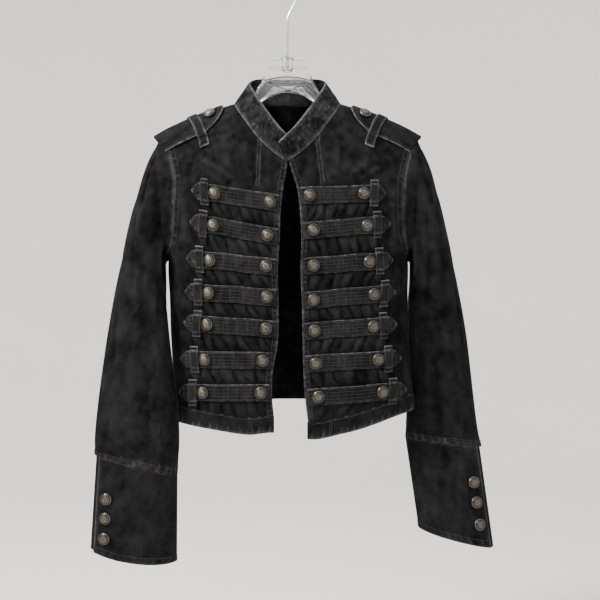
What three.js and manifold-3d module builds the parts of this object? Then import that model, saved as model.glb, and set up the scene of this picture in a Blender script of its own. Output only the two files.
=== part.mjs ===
// A cropped denim jacket of military cut, hanging on a clear plastic hanger.
// Millimetres, +Z up. The front faces -Y, and +X is the viewer's right, the wearer's left.
// The origin is the seat of the hanger's hook, where a rail carries it.
import * as THREE from "three";
import { mergeVertices } from "three/addons/utils/BufferGeometryUtils.js";
import Module from "manifold-3d";

const wasm = await Module();
wasm.setup();

// Cloth
const CLOTH = 1.6; // one layer of denim at the panels and sleeves
const DOUBLE = 2.4; // folded and topstitched pieces: straps, keepers, hem band, cuffs, epaulettes
const STAND = 2.8; // the collar, two layers and a stiffener
const SEAM = 0.2; // half of the gap left between two pieces at a seam
const LIFT = 0.7; // gap under a piece that lies on a panel

// Straps, keepers and buttons
const STRAP_WIDE = 24;
const STRAP_POINT = 9; // length of the strap's pointed end
const KEEPER_WIDE = 11.5;
const KEEPER_TALL = 39;
const KEEPER_REACH = 15.4; // from the outer button to the keeper's middle
const BUTTON_R = 9;
const BUTTON_HIGH = 5;
const BUTTON_SIDES = 10;

// Body: a rounded section at each height. The columns are the half width to the side seam, the depth
// of the front and of the back from the hanger's plane, and how far out the armhole or side seam lies.
const UNDERARM_Z = -436;
const SHOULDER_TIP_Z = -243; // where the armhole's seam crosses the ridge
const ARMHOLE_GAP = 1; // the sleeve's first section lies this far outside the armhole's edge
const BODY = [
  { z: -190, leftWide: 226, rightWide: 230, front: 51, back: 40, leftSeam: 190, rightSeam: 193 },
  { z: -238, leftWide: 226, rightWide: 230, front: 52, back: 42, leftSeam: 189, rightSeam: 193 },
  { z: -272, leftWide: 226, rightWide: 230, front: 53, back: 44, leftSeam: 181, rightSeam: 188 },
  { z: -315, leftWide: 224, rightWide: 228, front: 54, back: 46, leftSeam: 171, rightSeam: 178 },
  { z: -365, leftWide: 213, rightWide: 216, front: 55, back: 47, leftSeam: 172, rightSeam: 175 },
  { z: -410, leftWide: 196, rightWide: 199, front: 56, back: 48, leftSeam: 176, rightSeam: 179 },
  { z: -436, leftWide: 185, rightWide: 187, front: 56, back: 48, leftSeam: 185, rightSeam: 187 },
  { z: -500, leftWide: 183, rightWide: 187, front: 56, back: 48, leftSeam: 183, rightSeam: 187 },
  { z: -560, leftWide: 181, rightWide: 189, front: 55, back: 48, leftSeam: 181, rightSeam: 189 },
  { z: -610, leftWide: 178, rightWide: 192, front: 54, back: 49, leftSeam: 178, rightSeam: 192 },
  { z: -655, leftWide: 178, rightWide: 196, front: 53, back: 50, leftSeam: 178, rightSeam: 196 },
  { z: -712, leftWide: 180, rightWide: 198, front: 52, back: 50, leftSeam: 180, rightSeam: 198 },
];
const SECTION_POWER = 2.6; // 2 is an ellipse, and more is squarer
const SHOULDER_FALL = 150; // from the ridge of the shoulder down to the full depth

// The ridge of the shoulder, by distance from the middle. Inside the neck it only carries the surface on.
const NECK_X = 82;
const RIDGE = [
  { x: 0, z: -189 },
  { x: 45, z: -191 },
  { x: 82, z: -197 },
  { x: 110, z: -206 },
  { x: 140, z: -218 },
  { x: 165, z: -229 },
  { x: 195, z: -243 },
  { x: 212, z: -252 },
];
const NECK_RISE = 62; // how much the back carries on above the ridge at the middle of the neck
// Turns over the ridge of the shoulder are in degrees, 0 on the ridge and above 0 on the front.
const SHOULDER_SEAM_ROLL = 17.5;
const BACK_ROLLS = [SHOULDER_SEAM_ROLL - 0.7, 10, 3.5, -3.5, -9, -16]; // the back's rows over the ridge
const NECK_ROW_STEP = 0.05; // the same rows close up to this inside the neck
const TOWARDS_ARMHOLE = 0.85; // panel columns stand closer together where the section turns

// The neckline and the collar's upper edge, from the middle of the back round one side to the front.
const COLLAR = [
  { footX: 0, footZ: -194, topX: 0, topY: 37, topZ: -151 },
  { footX: 34, footZ: -194, topX: 28, topY: 35, topZ: -151 },
  { footX: 62, footZ: -195, topX: 50, topY: 27, topZ: -153 },
  { footX: 78, footZ: -196.5, topX: 60, topY: 14, topZ: -159 },
  { footX: 82, footZ: -199, topX: 58, topY: 2, topZ: -167 },
  { footX: 76, footZ: -211, topX: 51, topY: -12, topZ: -181 },
  { footX: 64, footZ: -229, topX: 42, topY: -25, topZ: -197 },
  { footX: 50, footZ: -249, topX: 31, topY: -36, topZ: -214 },
  { footX: 36, footZ: -265, topX: 20, topY: -44, topZ: -230 },
  { footX: 20, footZ: -280, topX: 9, topY: -49, topZ: -244 },
  { footX: 1, footZ: -293, topX: -3, topY: -52, topZ: -256 },
];
const COLLAR_BACK_ROWS = 4; // the first rows of the table stand on the back panel
const COLLAR_LAP = { past: -9, fall: -8.5, under: 7, climb: 0.6 }; // each end passes the middle and drops

// The front edges and the hem's lower edge, as seen from the front.
const FRONT_EDGE = [
  { z: -293, left: 0.5, right: 3 },
  { z: -313, left: -2, right: 9 },
  { z: -335, left: -6, right: 16 },
  { z: -370, left: -10, right: 20 },
  { z: -405, left: -11, right: 22 },
  { z: -460, left: -14, right: 21 },
  { z: -510, left: -13, right: 23 },
  { z: -565, left: -14, right: 24 },
  { z: -605, left: -21, right: 25 },
  { z: -642, left: -23, right: 27 },
  { z: -678, left: -20, right: 31 },
  { z: -712, left: -20, right: 37 },
];
const HEM = [
  { x: -200, front: -684, back: -684 },
  { x: -172, front: -686, back: -681 },
  { x: -150, front: -690, back: -675 },
  { x: -105, front: -697, back: -667 },
  { x: -58, front: -703, back: -662 },
  { x: -20, front: -700, back: -660 },
  { x: 38, front: -710, back: -660 },
  { x: 82, front: -702, back: -661 },
  { x: 111, front: -695, back: -664 },
  { x: 139, front: -686, back: -667 },
  { x: 162, front: -678, back: -668 },
  { x: 200, front: -667, back: -667 },
];
const HEM_BAND = 25;
const SIDE_HEM = { left: -684, right: -667 };

// Straps, from the collar down: the inner and the outer button's middle, and the strap's pointed end.
const STRAPS = {
  left: [
    { inX: -25, inZ: -355, outX: -108, outZ: -342, tipX: -143 },
    { inX: -29, inZ: -405, outX: -110, outZ: -390, tipX: -145 },
    { inX: -31, inZ: -451, outX: -115, outZ: -442, tipX: -151 },
    { inX: -30, inZ: -497, outX: -117, outZ: -491, tipX: -153 },
    { inX: -31, inZ: -544, outX: -119, outZ: -538, tipX: -155 },
    { inX: -36, inZ: -592, outX: -123, outZ: -591, tipX: -161 },
    { inX: -39, inZ: -640, outX: -126, outZ: -641, tipX: -163 },
  ],
  right: [
    { inX: 34, inZ: -345, outX: 115, outZ: -342, tipX: 148 },
    { inX: 40, inZ: -397, outX: 120, outZ: -390, tipX: 155 },
    { inX: 40, inZ: -450, outX: 123, outZ: -444, tipX: 159 },
    { inX: 40, inZ: -501, outX: 130, outZ: -493, tipX: 163 },
    { inX: 41, inZ: -547, outX: 129, outZ: -541, tipX: 165 },
    { inX: 43, inZ: -596, outX: 136, outZ: -591, tipX: 172 },
    { inX: 47, inZ: -646, outX: 143, outZ: -640, tipX: 180 },
  ],
};
const BILLOW = 2.4; // the panel swells this much between two straps
const STRAP_EDGE_X = 3; // a strap starts this far from the front edge

// Folds seen from the front: a soft ridge from one point to another, or a trough where high is negative.
const FOLDS = {
  left: [
    { x0: -132, z0: -290, x1: -84, z1: -328, high: 3.5, wide: 7 },
    { x0: -150, z0: -286, x1: -128, z1: -322, high: 2.5, wide: 7 },
    { x0: -46, z0: -262, x1: -46, z1: -330, high: -1.5, wide: 5 },
  ],
  right: [
    { x0: 140, z0: -282, x1: 96, z1: -320, high: 3, wide: 8 },
    { x0: 52, z0: -258, x1: 54, z1: -326, high: -1.5, wide: 5 },
  ],
  back: [
    { x0: 0, z0: -205, x1: 0, z1: -630, high: -1.2, wide: 5 },
    { x0: -150, z0: -300, x1: -70, z1: -420, high: 3, wide: 12 },
    { x0: 150, z0: -300, x1: 60, z1: -430, high: 3, wide: 12 },
    { x0: -110, z0: -470, x1: -60, z1: -620, high: 2.5, wide: 10 },
    { x0: 105, z0: -480, x1: 75, z1: -620, high: 2.5, wide: 10 },
  ],
};

// Sleeves, a row for each section: its outer and inner edge seen from the front, its middle's depth
// and half its thickness. The first section is the armhole itself.
const SLEEVES = {
  left: [
    { outX: -192, outZ: -243, inX: -187, inZ: -437, y: 0, deep: 30 },
    { outX: -200, outZ: -258, inX: -188, inZ: -441, y: -1, deep: 32 },
    { outX: -211, outZ: -278, inX: -189, inZ: -445, y: -3, deep: 35 },
    { outX: -221, outZ: -305, inX: -189, inZ: -451, y: -7, deep: 37 },
    { outX: -232, outZ: -345, inX: -188, inZ: -459, y: -10, deep: 36 },
    { outX: -243, outZ: -390, inX: -187, inZ: -468, y: -14, deep: 33 },
    { outX: -252, outZ: -435, inX: -186, inZ: -480, y: -19, deep: 31 },
    { outX: -261, outZ: -482, inX: -185, inZ: -498, y: -26, deep: 29 },
    { outX: -267, outZ: -522, inX: -182, inZ: -528, y: -33, deep: 27 },
    { outX: -273, outZ: -565, inX: -177, inZ: -568, y: -39, deep: 25 },
    { outX: -279, outZ: -612, inX: -171, inZ: -612, y: -43, deep: 23 },
    { outX: -285, outZ: -660, inX: -165, inZ: -660, y: -44, deep: 22 },
    { outX: -290, outZ: -703, inX: -163, inZ: -712, y: -40, deep: 21 },
    { outX: -292, outZ: -735, inX: -167, inZ: -766, y: -33, deep: 20 },
  ],
  right: [
    { outX: 196, outZ: -243, inX: 189, inZ: -437, y: 0, deep: 30 },
    { outX: 202, outZ: -256, inX: 190, inZ: -441, y: 1, deep: 31 },
    { outX: 213, outZ: -276, inX: 191, inZ: -445, y: 2, deep: 34 },
    { outX: 224, outZ: -303, inX: 191, inZ: -451, y: 3, deep: 36 },
    { outX: 235, outZ: -345, inX: 191, inZ: -459, y: 5, deep: 35 },
    { outX: 246, outZ: -388, inX: 191, inZ: -468, y: 8, deep: 33 },
    { outX: 257, outZ: -432, inX: 191, inZ: -480, y: 12, deep: 31 },
    { outX: 267, outZ: -478, inX: 190, inZ: -498, y: 17, deep: 29 },
    { outX: 276, outZ: -520, inX: 190, inZ: -528, y: 22, deep: 27 },
    { outX: 284, outZ: -566, inX: 190, inZ: -566, y: 26, deep: 25 },
    { outX: 290, outZ: -612, inX: 190, inZ: -606, y: 29, deep: 23 },
    { outX: 295, outZ: -655, inX: 189, inZ: -645, y: 30, deep: 22 },
    { outX: 300, outZ: -700, inX: 188, inZ: -686, y: 26, deep: 21 },
    { outX: 305, outZ: -731, inX: 186, inZ: -717, y: 19, deep: 20 },
  ],
};
const SLEEVE_POWER = 2.3;
// Folds that run down a sleeve: from one part of its length to another, at a turn from the front.
const SLEEVE_FOLDS = {
  left: [
    { from: 0.25, to: 0.62, turn0: -35, turn1: 5, high: 3, wide: 16 },
    { from: 0.55, to: 1, turn0: 28, turn1: 20, high: 2.5, wide: 13 },
    { from: 0.45, to: 0.98, turn0: -42, turn1: -30, high: 2.5, wide: 12 },
    { from: 0.3, to: 0.95, turn0: 175, turn1: 190, high: 3, wide: 18 },
    { from: 0.2, to: 0.6, turn0: 140, turn1: 165, high: 2.5, wide: 14 },
  ],
  right: [
    { from: 0.2, to: 0.6, turn0: 30, turn1: 0, high: 3, wide: 16 },
    { from: 0.5, to: 0.98, turn0: -25, turn1: -18, high: 2.5, wide: 13 },
    { from: 0.4, to: 1, turn0: 38, turn1: 30, high: 2.5, wide: 12 },
    { from: 0.3, to: 0.95, turn0: 185, turn1: 172, high: 3, wide: 18 },
    { from: 0.2, to: 0.6, turn0: 215, turn1: 196, high: 2.5, wide: 14 },
  ],
};

// Cuffs: each starts at the sleeve's last section and ends at a lower one. The lower edge's middle
// hangs below a straight line by the dip, and the buttons lie at these shares of the length.
const CUFFS = {
  left: {
    lower: { outX: -303, outZ: -878, inX: -169, inZ: -898, y: -24, deep: 21 },
    dip: 9,
    buttons: [0.4, 0.6, 0.81],
  },
  right: {
    lower: { outX: 324, outZ: -885, inX: 205, inZ: -855, y: 6, deep: 21 },
    dip: 3,
    buttons: [0.36, 0.56, 0.78],
  },
};
// A cuff wraps round with a lap. These turns are in degrees, where 0 is the front and 90 the outer edge.
const CUFF_END = 56; // the upper layer's end
const CUFF_BUTTON = 34;
const CUFF_UNDER_END = 12; // the lower layer's end, hidden under the upper one

// Epaulettes, a row across each from its edge behind the ridge to its edge on the front.
const EPAULETTE = [
  { roll: -6, innerX: 112, outerX: 207 },
  { roll: 6, innerX: 101, outerX: 206 },
  { roll: 17, innerX: 98, outerX: 203 },
  { roll: 26, innerX: 101, outerX: 198 },
  { roll: 34, innerX: 109, outerX: 192 },
  { roll: 40.5, innerX: 124, outerX: 186 },
];
const EPAULETTE_KEEPER = [
  { roll: -13, x: 150, over: 0 },
  { roll: -8, x: 149, over: 1 },
  { roll: 6, x: 146, over: 1 },
  { roll: 17, x: 142, over: 1 },
  { roll: 29, x: 136, over: 1 },
  { roll: 42, x: 129, over: 1 },
  { roll: 44.5, x: 127, over: 0 },
  { roll: 52, x: 124, over: 0 },
];
const EPAULETTE_KEEPER_WIDE = 13;
const EPAULETTE_BUTTON = { x: 118, roll: 20 };
const EPAULETTE_LIFT = 1.6; // clear of the armhole's seam

// Hanger
const WIRE_R = 2.1;
const HOOK_R = 21; // of the wire's own line
const SHANK_TOP_Z = -56; // the straight shank bends into the hook above here
const SHANK_FOOT_Z = -140;
const PLATE = { topZ: -127, topX: 26.5, footZ: -161, footX: 37 };
const BAR = { thick: 8, bevel: 2.8, endX: 180, underRidge: 2.7, bowZ: -176 };
const NECK_OF_BAR = [
  { topX: 56, topZ: -188, footX: 20, footZ: -181 },
  { topX: 74, topZ: -203, footX: 41, footZ: -194 },
  { topX: 88, topZ: -202.5, footX: 64, footZ: -208 },
];
const BAR_TALL = [
  { x: 60, tall: 17 },
  { x: 110, tall: 16 },
  { x: 180, tall: 11 },
];

// A smooth curve through one column of a table, read by another.
function curve(rows, key, value) {
  const sorted = [...rows].sort((a, b) => a[key] - b[key]);
  const at = sorted.map((row) => row[key]);
  const is = sorted.map((row) => row[value]);
  const slope = at.map((_, i) => {
    const before = Math.max(i - 1, 0);
    const after = Math.min(i + 1, at.length - 1);
    return (is[after] - is[before]) / (at[after] - at[before]);
  });
  return (where) => {
    if (where <= at[0]) return is[0];
    if (where >= at.at(-1)) return is.at(-1);
    const i = at.findIndex((a) => a > where) - 1;
    const span = at[i + 1] - at[i];
    const t = (where - at[i]) / span;
    return (
      (2 * t ** 3 - 3 * t ** 2 + 1) * is[i] +
      (t ** 3 - 2 * t ** 2 + t) * span * slope[i] +
      (3 * t ** 2 - 2 * t ** 3) * is[i + 1] +
      (t ** 3 - t ** 2) * span * slope[i + 1]
    );
  };
}

const lerp = THREE.MathUtils.lerp;
const clamp = THREE.MathUtils.clamp;
const rad = THREE.MathUtils.degToRad;
const smooth = (t) => THREE.MathUtils.smoothstep(t, 0, 1);
const signOf = { left: -1, right: 1 };
const spaced = (count) => Array.from({ length: count + 1 }, (_, i) => i / count);

const body = Object.fromEntries(
  Object.keys(BODY[0]).slice(1).map((column) => [column, curve(BODY, "z", column)]),
);
const ridgeHalf = curve(RIDGE, "x", "z");
const ridge = (x) => ridgeHalf(Math.abs(x));
const frontEdge = { left: curve(FRONT_EDGE, "z", "left"), right: curve(FRONT_EDGE, "z", "right") };
const hem = { front: curve(HEM, "x", "front"), back: curve(HEM, "x", "back") };
const frontNeck = curve(
  COLLAR.slice(COLLAR_BACK_ROWS).map((row) => ({ x: row.footX, z: row.footZ })),
  "x",
  "z",
);
const backNeck = curve(
  COLLAR.slice(0, COLLAR_BACK_ROWS + 1).map((row) => ({ x: row.footX, z: row.footZ })),
  "x",
  "z",
);

// Half the body's depth where it is deepest at a height, with the roll over the shoulder taken in.
function depthAt(face, x, z) {
  let top = ridge(x);
  if (face === "back") top += NECK_RISE * (1 - smooth(Math.abs(x) / NECK_X));
  const fall = clamp((top - z) / SHOULDER_FALL, 0, 1);
  return body[face](z) * Math.sqrt(1 - (1 - fall) ** 2);
}

function wideAt(x, z) {
  return x < 0 ? body.leftWide(z) : body.rightWide(z);
}

// The torso's plain surface: its distance from the hanger's plane at a place seen from the front.
function torsoDepth(face, x, z) {
  const out = clamp(Math.abs(x) / wideAt(x, z), 0, 1);
  return depthAt(face, x, z) * (1 - out ** SECTION_POWER) ** (1 / SECTION_POWER);
}

// The outward direction of the torso at a point, from the slope of its rounded section.
function torsoNormal(face, x, z) {
  const step = 0.5;
  const facing = face === "front" ? -1 : 1;
  const deep = Math.max(depthAt(face, x, z), 0.5);
  const wide = wideAt(x, z);
  const y = torsoDepth(face, x, z);
  const p = SECTION_POWER;
  const slope = (depthAt(face, x, z - step) - depthAt(face, x, z + step)) / (2 * step);
  return new THREE.Vector3(
    Math.sign(x) * (Math.abs(x) / wide) ** (p - 1) / wide,
    (facing * (y / deep) ** (p - 1)) / deep,
    ((y / deep) ** p * slope) / deep,
  ).normalize();
}

// The height added at a place by a table of folds, each fading out at its ends.
function foldAt(folds, x, z) {
  let high = 0;
  for (const fold of folds) {
    const run = Math.hypot(fold.x1 - fold.x0, fold.z1 - fold.z0);
    const dx = (fold.x1 - fold.x0) / run;
    const dz = (fold.z1 - fold.z0) / run;
    const along = (x - fold.x0) * dx + (z - fold.z0) * dz;
    const across = (x - fold.x0) * dz - (z - fold.z0) * dx;
    const inside = clamp(along / fold.wide, 0, 1) * clamp((run - along) / fold.wide, 0, 1);
    high += fold.high * smooth(inside) * Math.exp(-((across / fold.wide) ** 2));
  }
  return high;
}

// A strap's middle line, its height at a place across the front.
function strapZ(strap, x) {
  return lerp(strap.inZ, strap.outZ, (x - strap.inX) / (strap.outX - strap.inX));
}

// The swell of a front between its straps: none under a strap, most half-way to the next.
function billowAt(side, x, z) {
  const lines = STRAPS[side].map((strap) => strapZ(strap, x));
  const below = lines.findIndex((line) => line < z);
  if (below <= 0) return 0;
  const free = lines[below - 1] - lines[below] - STRAP_WIDE;
  const inside = clamp((lines[below - 1] - STRAP_WIDE / 2 - z) / free, 0, 1);
  return BILLOW * Math.sin(Math.PI * inside);
}

// A point of the jacket's body, moved out from its surface along the outward direction.
function skin(face, x, z, out = 0) {
  const side = x < 0 ? "left" : "right";
  const swell = face === "front" ? billowAt(side, x, z) : 0;
  const fold = foldAt(face === "front" ? FOLDS[side] : FOLDS.back, x, z);
  const flat = smooth((wideAt(x, z) - Math.abs(x)) / 30);
  const y = torsoDepth(face, x, z) + SEAM + (swell + fold) * flat;
  const point = new THREE.Vector3(x, face === "front" ? -y : y, z);
  return out ? point.addScaledVector(torsoNormal(face, x, z), out) : point;
}

// A closed wall from a grid of outer points, seen from outside with rows going down and columns going
// to the right. Its inner side lies one thickness in. A tube's last column runs on to its first.
function wall(rows, thick, { around = false, normals = [] } = {}) {
  const down = rows.length;
  const across = rows[0].length;
  const at = (i, j) => rows[clamp(i, 0, down - 1)][
    around ? (j + across) % across : clamp(j, 0, across - 1)
  ];
  const outward = (i, j) =>
    normals[i]?.[j] ??
    new THREE.Vector3()
      .subVectors(at(i + 1, j), at(i - 1, j))
      .cross(new THREE.Vector3().subVectors(at(i, j + 1), at(i, j - 1)))
      .normalize();
  const positions = [];
  for (let i = 0; i < down; i++)
    for (let j = 0; j < across; j++) {
      const outer = at(i, j);
      const inner = outer.clone().addScaledVector(outward(i, j), -thick);
      positions.push(...outer, ...inner);
    }
  const index = [];
  const outer = (i, j) => 2 * (i * across + (j % across));
  const inner = (i, j) => outer(i, j) + 1;
  const quad = (a, b, c, d) => index.push(a, b, c, a, c, d);
  const spans = around ? across : across - 1;
  for (let j = 0; j < spans; j++) {
    for (let i = 0; i < down - 1; i++) {
      quad(outer(i, j), outer(i + 1, j), outer(i + 1, j + 1), outer(i, j + 1));
      quad(inner(i, j), inner(i, j + 1), inner(i + 1, j + 1), inner(i + 1, j));
    }
    quad(outer(0, j), outer(0, j + 1), inner(0, j + 1), inner(0, j));
    const last = down - 1;
    quad(outer(last, j), inner(last, j), inner(last, j + 1), outer(last, j + 1));
  }
  if (!around)
    for (let i = 0; i < down - 1; i++) {
      quad(outer(i, 0), inner(i, 0), inner(i + 1, 0), outer(i + 1, 0));
      const last = across - 1;
      quad(outer(i, last), outer(i + 1, last), inner(i + 1, last), inner(i, last));
    }
  const geometry = new THREE.BufferGeometry();
  geometry.setAttribute("position", new THREE.Float32BufferAttribute(positions, 3));
  geometry.setIndex(index);
  return geometry;
}

// A point over the shoulder's ridge, by its distance along X and its turn in degrees: the front of the
// ridge is above 0.
function overShoulder(x, roll, out = 0) {
  const at = (u, turn) => {
    const face = turn > 0 ? "front" : "back";
    const z = ridge(u) - SHOULDER_FALL * (1 - Math.cos(rad(turn)));
    const y = torsoDepth(face, u, z) + SEAM;
    return new THREE.Vector3(u, face === "front" ? -y : y, z);
  };
  const normal = new THREE.Vector3()
    .subVectors(at(x, roll + 2), at(x, roll - 2))
    .cross(new THREE.Vector3().subVectors(at(x + 2, roll), at(x - 2, roll)))
    .normalize();
  return { point: at(x, roll).addScaledVector(normal, out), normal };
}

// Shares of a width that stand closer together towards the armhole.
const closingIn = spaced(6).map((t) => Math.sin((t * Math.PI) / 2) ** TOWARDS_ARMHOLE);
const isNeck = (x) => Math.abs(x) < NECK_X - 0.5;
const shoulderSeamDrop = SHOULDER_FALL * (1 - Math.cos(rad(SHOULDER_SEAM_ROLL)));

// The places across a front panel's top and foot, from the front edge to the armhole and side seam.
function frontColumns(side) {
  const sign = signOf[side];
  const seam = body[`${side}Seam`];
  const edgeTopX = frontEdge[side](frontNeck(0));
  const tipX = sign * (seam(SHOULDER_TIP_Z) - SEAM);
  const edgeFootX = frontEdge[side](hem.front(0) + HEM_BAND);
  const sideFootX = sign * seam(SIDE_HEM[side] + HEM_BAND);
  const neck = COLLAR.slice(COLLAR_BACK_ROWS).map((row) => sign * row.footX).reverse();
  const neckShares = neck.slice(1).map((x) => (x - edgeTopX) / (tipX - edgeTopX));
  const last = neckShares.at(-1);
  const beyond = closingIn.slice(1).map((t) => lerp(last, 1, t));
  return [0, ...neckShares, ...beyond].map((share) => {
    const topX = lerp(edgeTopX, tipX, share);
    const footX = lerp(edgeFootX, sideFootX, share);
    const topZ = isNeck(topX) ? frontNeck(Math.abs(topX)) : ridge(topX) - shoulderSeamDrop - SEAM;
    return { share, topX, topZ, footX, footZ: hem.front(footX) + HEM_BAND };
  });
}

// Rows between the top and the foot: an even run above the first strap, then both edges of each strap
// and two rows in each swell between them.
function frontRows(side) {
  const rows = spaced(8).slice(0, -1).map((t) => ({ above: t ** 1.25 }));
  STRAPS[side].forEach((strap, i) => {
    rows.push({ strap, up: STRAP_WIDE / 2 + 1 }, { strap, up: -STRAP_WIDE / 2 - 1 });
    const next = STRAPS[side][i + 1];
    if (next) rows.push({ strap, next, share: 0.36 }, { strap, next, share: 0.64 });
  });
  return [...rows, { foot: 0.5 }, { foot: 1 }];
}

// A front panel, from the front edge to the armhole and the side seam, and from the neck to the band.
function frontPanel(side) {
  const sign = signOf[side];
  const seam = body[`${side}Seam`];
  const columns = frontColumns(side);
  const edgeAndSide = (z) => [frontEdge[side](z), sign * (seam(z) - (z > UNDERARM_Z ? SEAM : 0))];
  const first = STRAPS[side][0];
  const last = STRAPS[side].at(-1);
  const across = (share, z) => lerp(...edgeAndSide(z), share);
  const plainZ = (row, column, x) => {
    if (row.next) return lerp(strapZ(row.strap, x), strapZ(row.next, x), row.share);
    if (row.strap) return strapZ(row.strap, x) + row.up;
    if (row.foot) return lerp(strapZ(last, x) - STRAP_WIDE / 2 - 1, column.footZ, row.foot);
    return lerp(column.topZ, strapZ(first, x) + STRAP_WIDE / 2 + 1, row.above);
  };
  // The hem rises to the side, so the lowest rows close up above it there.
  const rows = frontRows(side);
  const zOf = (row, column, x) =>
    Math.max(plainZ(row, column, x), column.footZ + 2 * (rows.length - 1 - rows.indexOf(row)));
  const places = rows.map((row) =>
    columns.map((column) => {
      if (row.above === 0) return { x: column.topX, z: column.topZ };
      if (row.foot === 1) return { x: column.footX, z: column.footZ + SEAM };
      // The edge and the height depend on each other a little, and two rounds settle them.
      let x = lerp(column.topX, column.footX, 0.5);
      for (let i = 0; i < 3; i++) x = across(column.share, zOf(row, column, x));
      return { x, z: zOf(row, column, x) };
    }),
  );
  if (side === "left") places.forEach((row) => row.reverse());
  return wall(
    places.map((row) => row.map(({ x, z }) => skin("front", x, z))),
    CLOTH,
    { normals: places.map((row) => row.map(({ x, z }) => torsoNormal("front", x, z))) },
  );
}

// The places across the back's top and foot, as seen from behind: from the wearer's left, at +X.
function backColumns() {
  const neck = COLLAR.slice(0, COLLAR_BACK_ROWS).map((row) => row.footX);
  const tips = {
    left: body.leftSeam(SHOULDER_TIP_Z) - SEAM,
    right: body.rightSeam(SHOULDER_TIP_Z) - SEAM,
  };
  const half = (side) => {
    const beyond = closingIn.map((t) => lerp(NECK_X, tips[side], t));
    return [...neck, ...beyond].map((x) => signOf[side] * x);
  };
  return [...half("right").reverse(), ...half("left").slice(1)].map((topX) => {
    const side = topX < 0 ? "left" : "right";
    const share = Math.abs(topX) / tips[side];
    const footX = signOf[side] * share * body[`${side}Seam`](SIDE_HEM[side] + HEM_BAND);
    const inNeck = isNeck(topX);
    const topZ = inNeck ? backNeck(Math.abs(topX)) : ridge(topX);
    return { side, share, topX, topZ, inNeck, footX, footZ: hem.back(footX) + HEM_BAND };
  });
}

// The back, over the ridge of the shoulders to the seam on the front and down to the hem band.
function backPanel() {
  const columns = backColumns();
  const rows = [];
  // Inside the neck the rows over the ridge close up to the neckline.
  BACK_ROLLS.forEach((roll, i) => {
    const close = NECK_ROW_STEP * (BACK_ROLLS.length - i);
    rows.push(
      columns.map(({ topX, topZ, inNeck }) =>
        inNeck
          ? {
              point: skin("back", topX, topZ + close),
              normal: torsoNormal("back", topX, topZ + close),
            }
          : overShoulder(topX, roll),
      ),
    );
  });
  const drop = SHOULDER_FALL * (1 - Math.cos(rad(BACK_ROLLS.at(-1))));
  for (const t of spaced(18).map((even) => even ** 1.1).slice(1))
    rows.push(
      columns.map(({ side, share, topZ, inNeck, footX, footZ }) => {
        const seam = body[`${side}Seam`];
        const z = lerp(topZ - (inNeck ? 0 : drop), footZ + SEAM, t);
        const edge = seam(z) - (z > UNDERARM_Z ? SEAM : 0);
        const x = t === 1 ? footX : signOf[side] * share * edge;
        return { point: skin("back", x, z), normal: torsoNormal("back", x, z) };
      }),
    );
  return wall(
    rows.map((row) => row.map(({ point }) => point)),
    CLOTH,
    { normals: rows.map((row) => row.map(({ normal }) => normal)) },
  );
}

// Values between a table's rows: every column read at a place counted in rows.
function between(rows) {
  const counted = rows.map((row, i) => ({ ...row, i }));
  const columns = Object.keys(rows[0]).map((key) => [key, curve(counted, "i", key)]);
  return (t) => Object.fromEntries(columns.map(([key, at]) => [key, at(t)]));
}

// Pieces are worked out on the viewer's right. On the left they are mirrored, and their columns turned
// round so that they still go to the right as seen from outside.
function mirrored(side, rows) {
  if (side === "right") return rows;
  return rows.map((row) => row.map((p) => new THREE.Vector3(-p.x, p.y, p.z)).reverse());
}

// The band at the hem, from one front edge round the back to the other.
function hemBand() {
  const foot = (face, columns, line) =>
    columns.map(({ footX }) => ({ face, x: footX, z: line(footX) }));
  const places = [
    ...foot("front", frontColumns("right"), hem.front),
    ...foot("back", backColumns(), hem.back).slice(1, -1),
    ...foot("front", frontColumns("left"), hem.front).reverse(),
  ];
  const rows = [HEM_BAND - SEAM, 0].map((up) =>
    places.map(({ face, x, z }) => ({
      point: skin(face, x, z + up, 0.3),
      normal: torsoNormal(face, x, z + up),
    })),
  );
  return wall(
    rows.map((row) => row.map(({ point }) => point)),
    DOUBLE,
    { normals: rows.map((row) => row.map(({ normal }) => normal)) },
  );
}

// The stand collar. Its end on the viewer's right laps over the other at the front.
function collar() {
  const lapRows = 3; // the ends part from each other over the last rows
  const apart = (STAND + 2 * LIFT) / 2;
  const last = COLLAR.length - 1;
  const at = between(COLLAR);
  const steps = spaced(2 * last).map((t) => t * last);
  const column = (t, sign) => {
    const row = at(t);
    const lap = sign * apart * smooth((t - last + lapRows) / lapRows);
    const face = t < COLLAR_BACK_ROWS - 0.5 ? "back" : "front";
    const foot = skin(face, sign * row.footX, row.footZ);
    foot.z += 4 * SEAM;
    foot.y -= lap;
    return { foot, top: new THREE.Vector3(sign * row.topX, row.topY - lap, row.topZ) };
  };
  const shifted = ({ foot, top }, footX, topX, topZ) => ({
    foot: new THREE.Vector3(foot.x + footX, foot.y, foot.z + COLLAR_LAP.climb * footX),
    top: new THREE.Vector3(top.x + topX, top.y, top.z + topZ),
  });
  const upper = steps.map((t) => column(t, 1)).reverse();
  const lower = steps.slice(1).map((t) => column(t, -1));
  const columns = [
    shifted(upper[0], 0, COLLAR_LAP.past, COLLAR_LAP.fall),
    ...upper,
    ...lower,
    shifted(lower.at(-1), COLLAR_LAP.under, COLLAR_LAP.under, COLLAR_LAP.fall),
  ];
  const rows = [0, 0.5, 1].map((t) =>
    columns.map(({ foot, top }) => new THREE.Vector3().lerpVectors(top, foot, t)),
  );
  return wall(rows, STAND);
}

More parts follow.
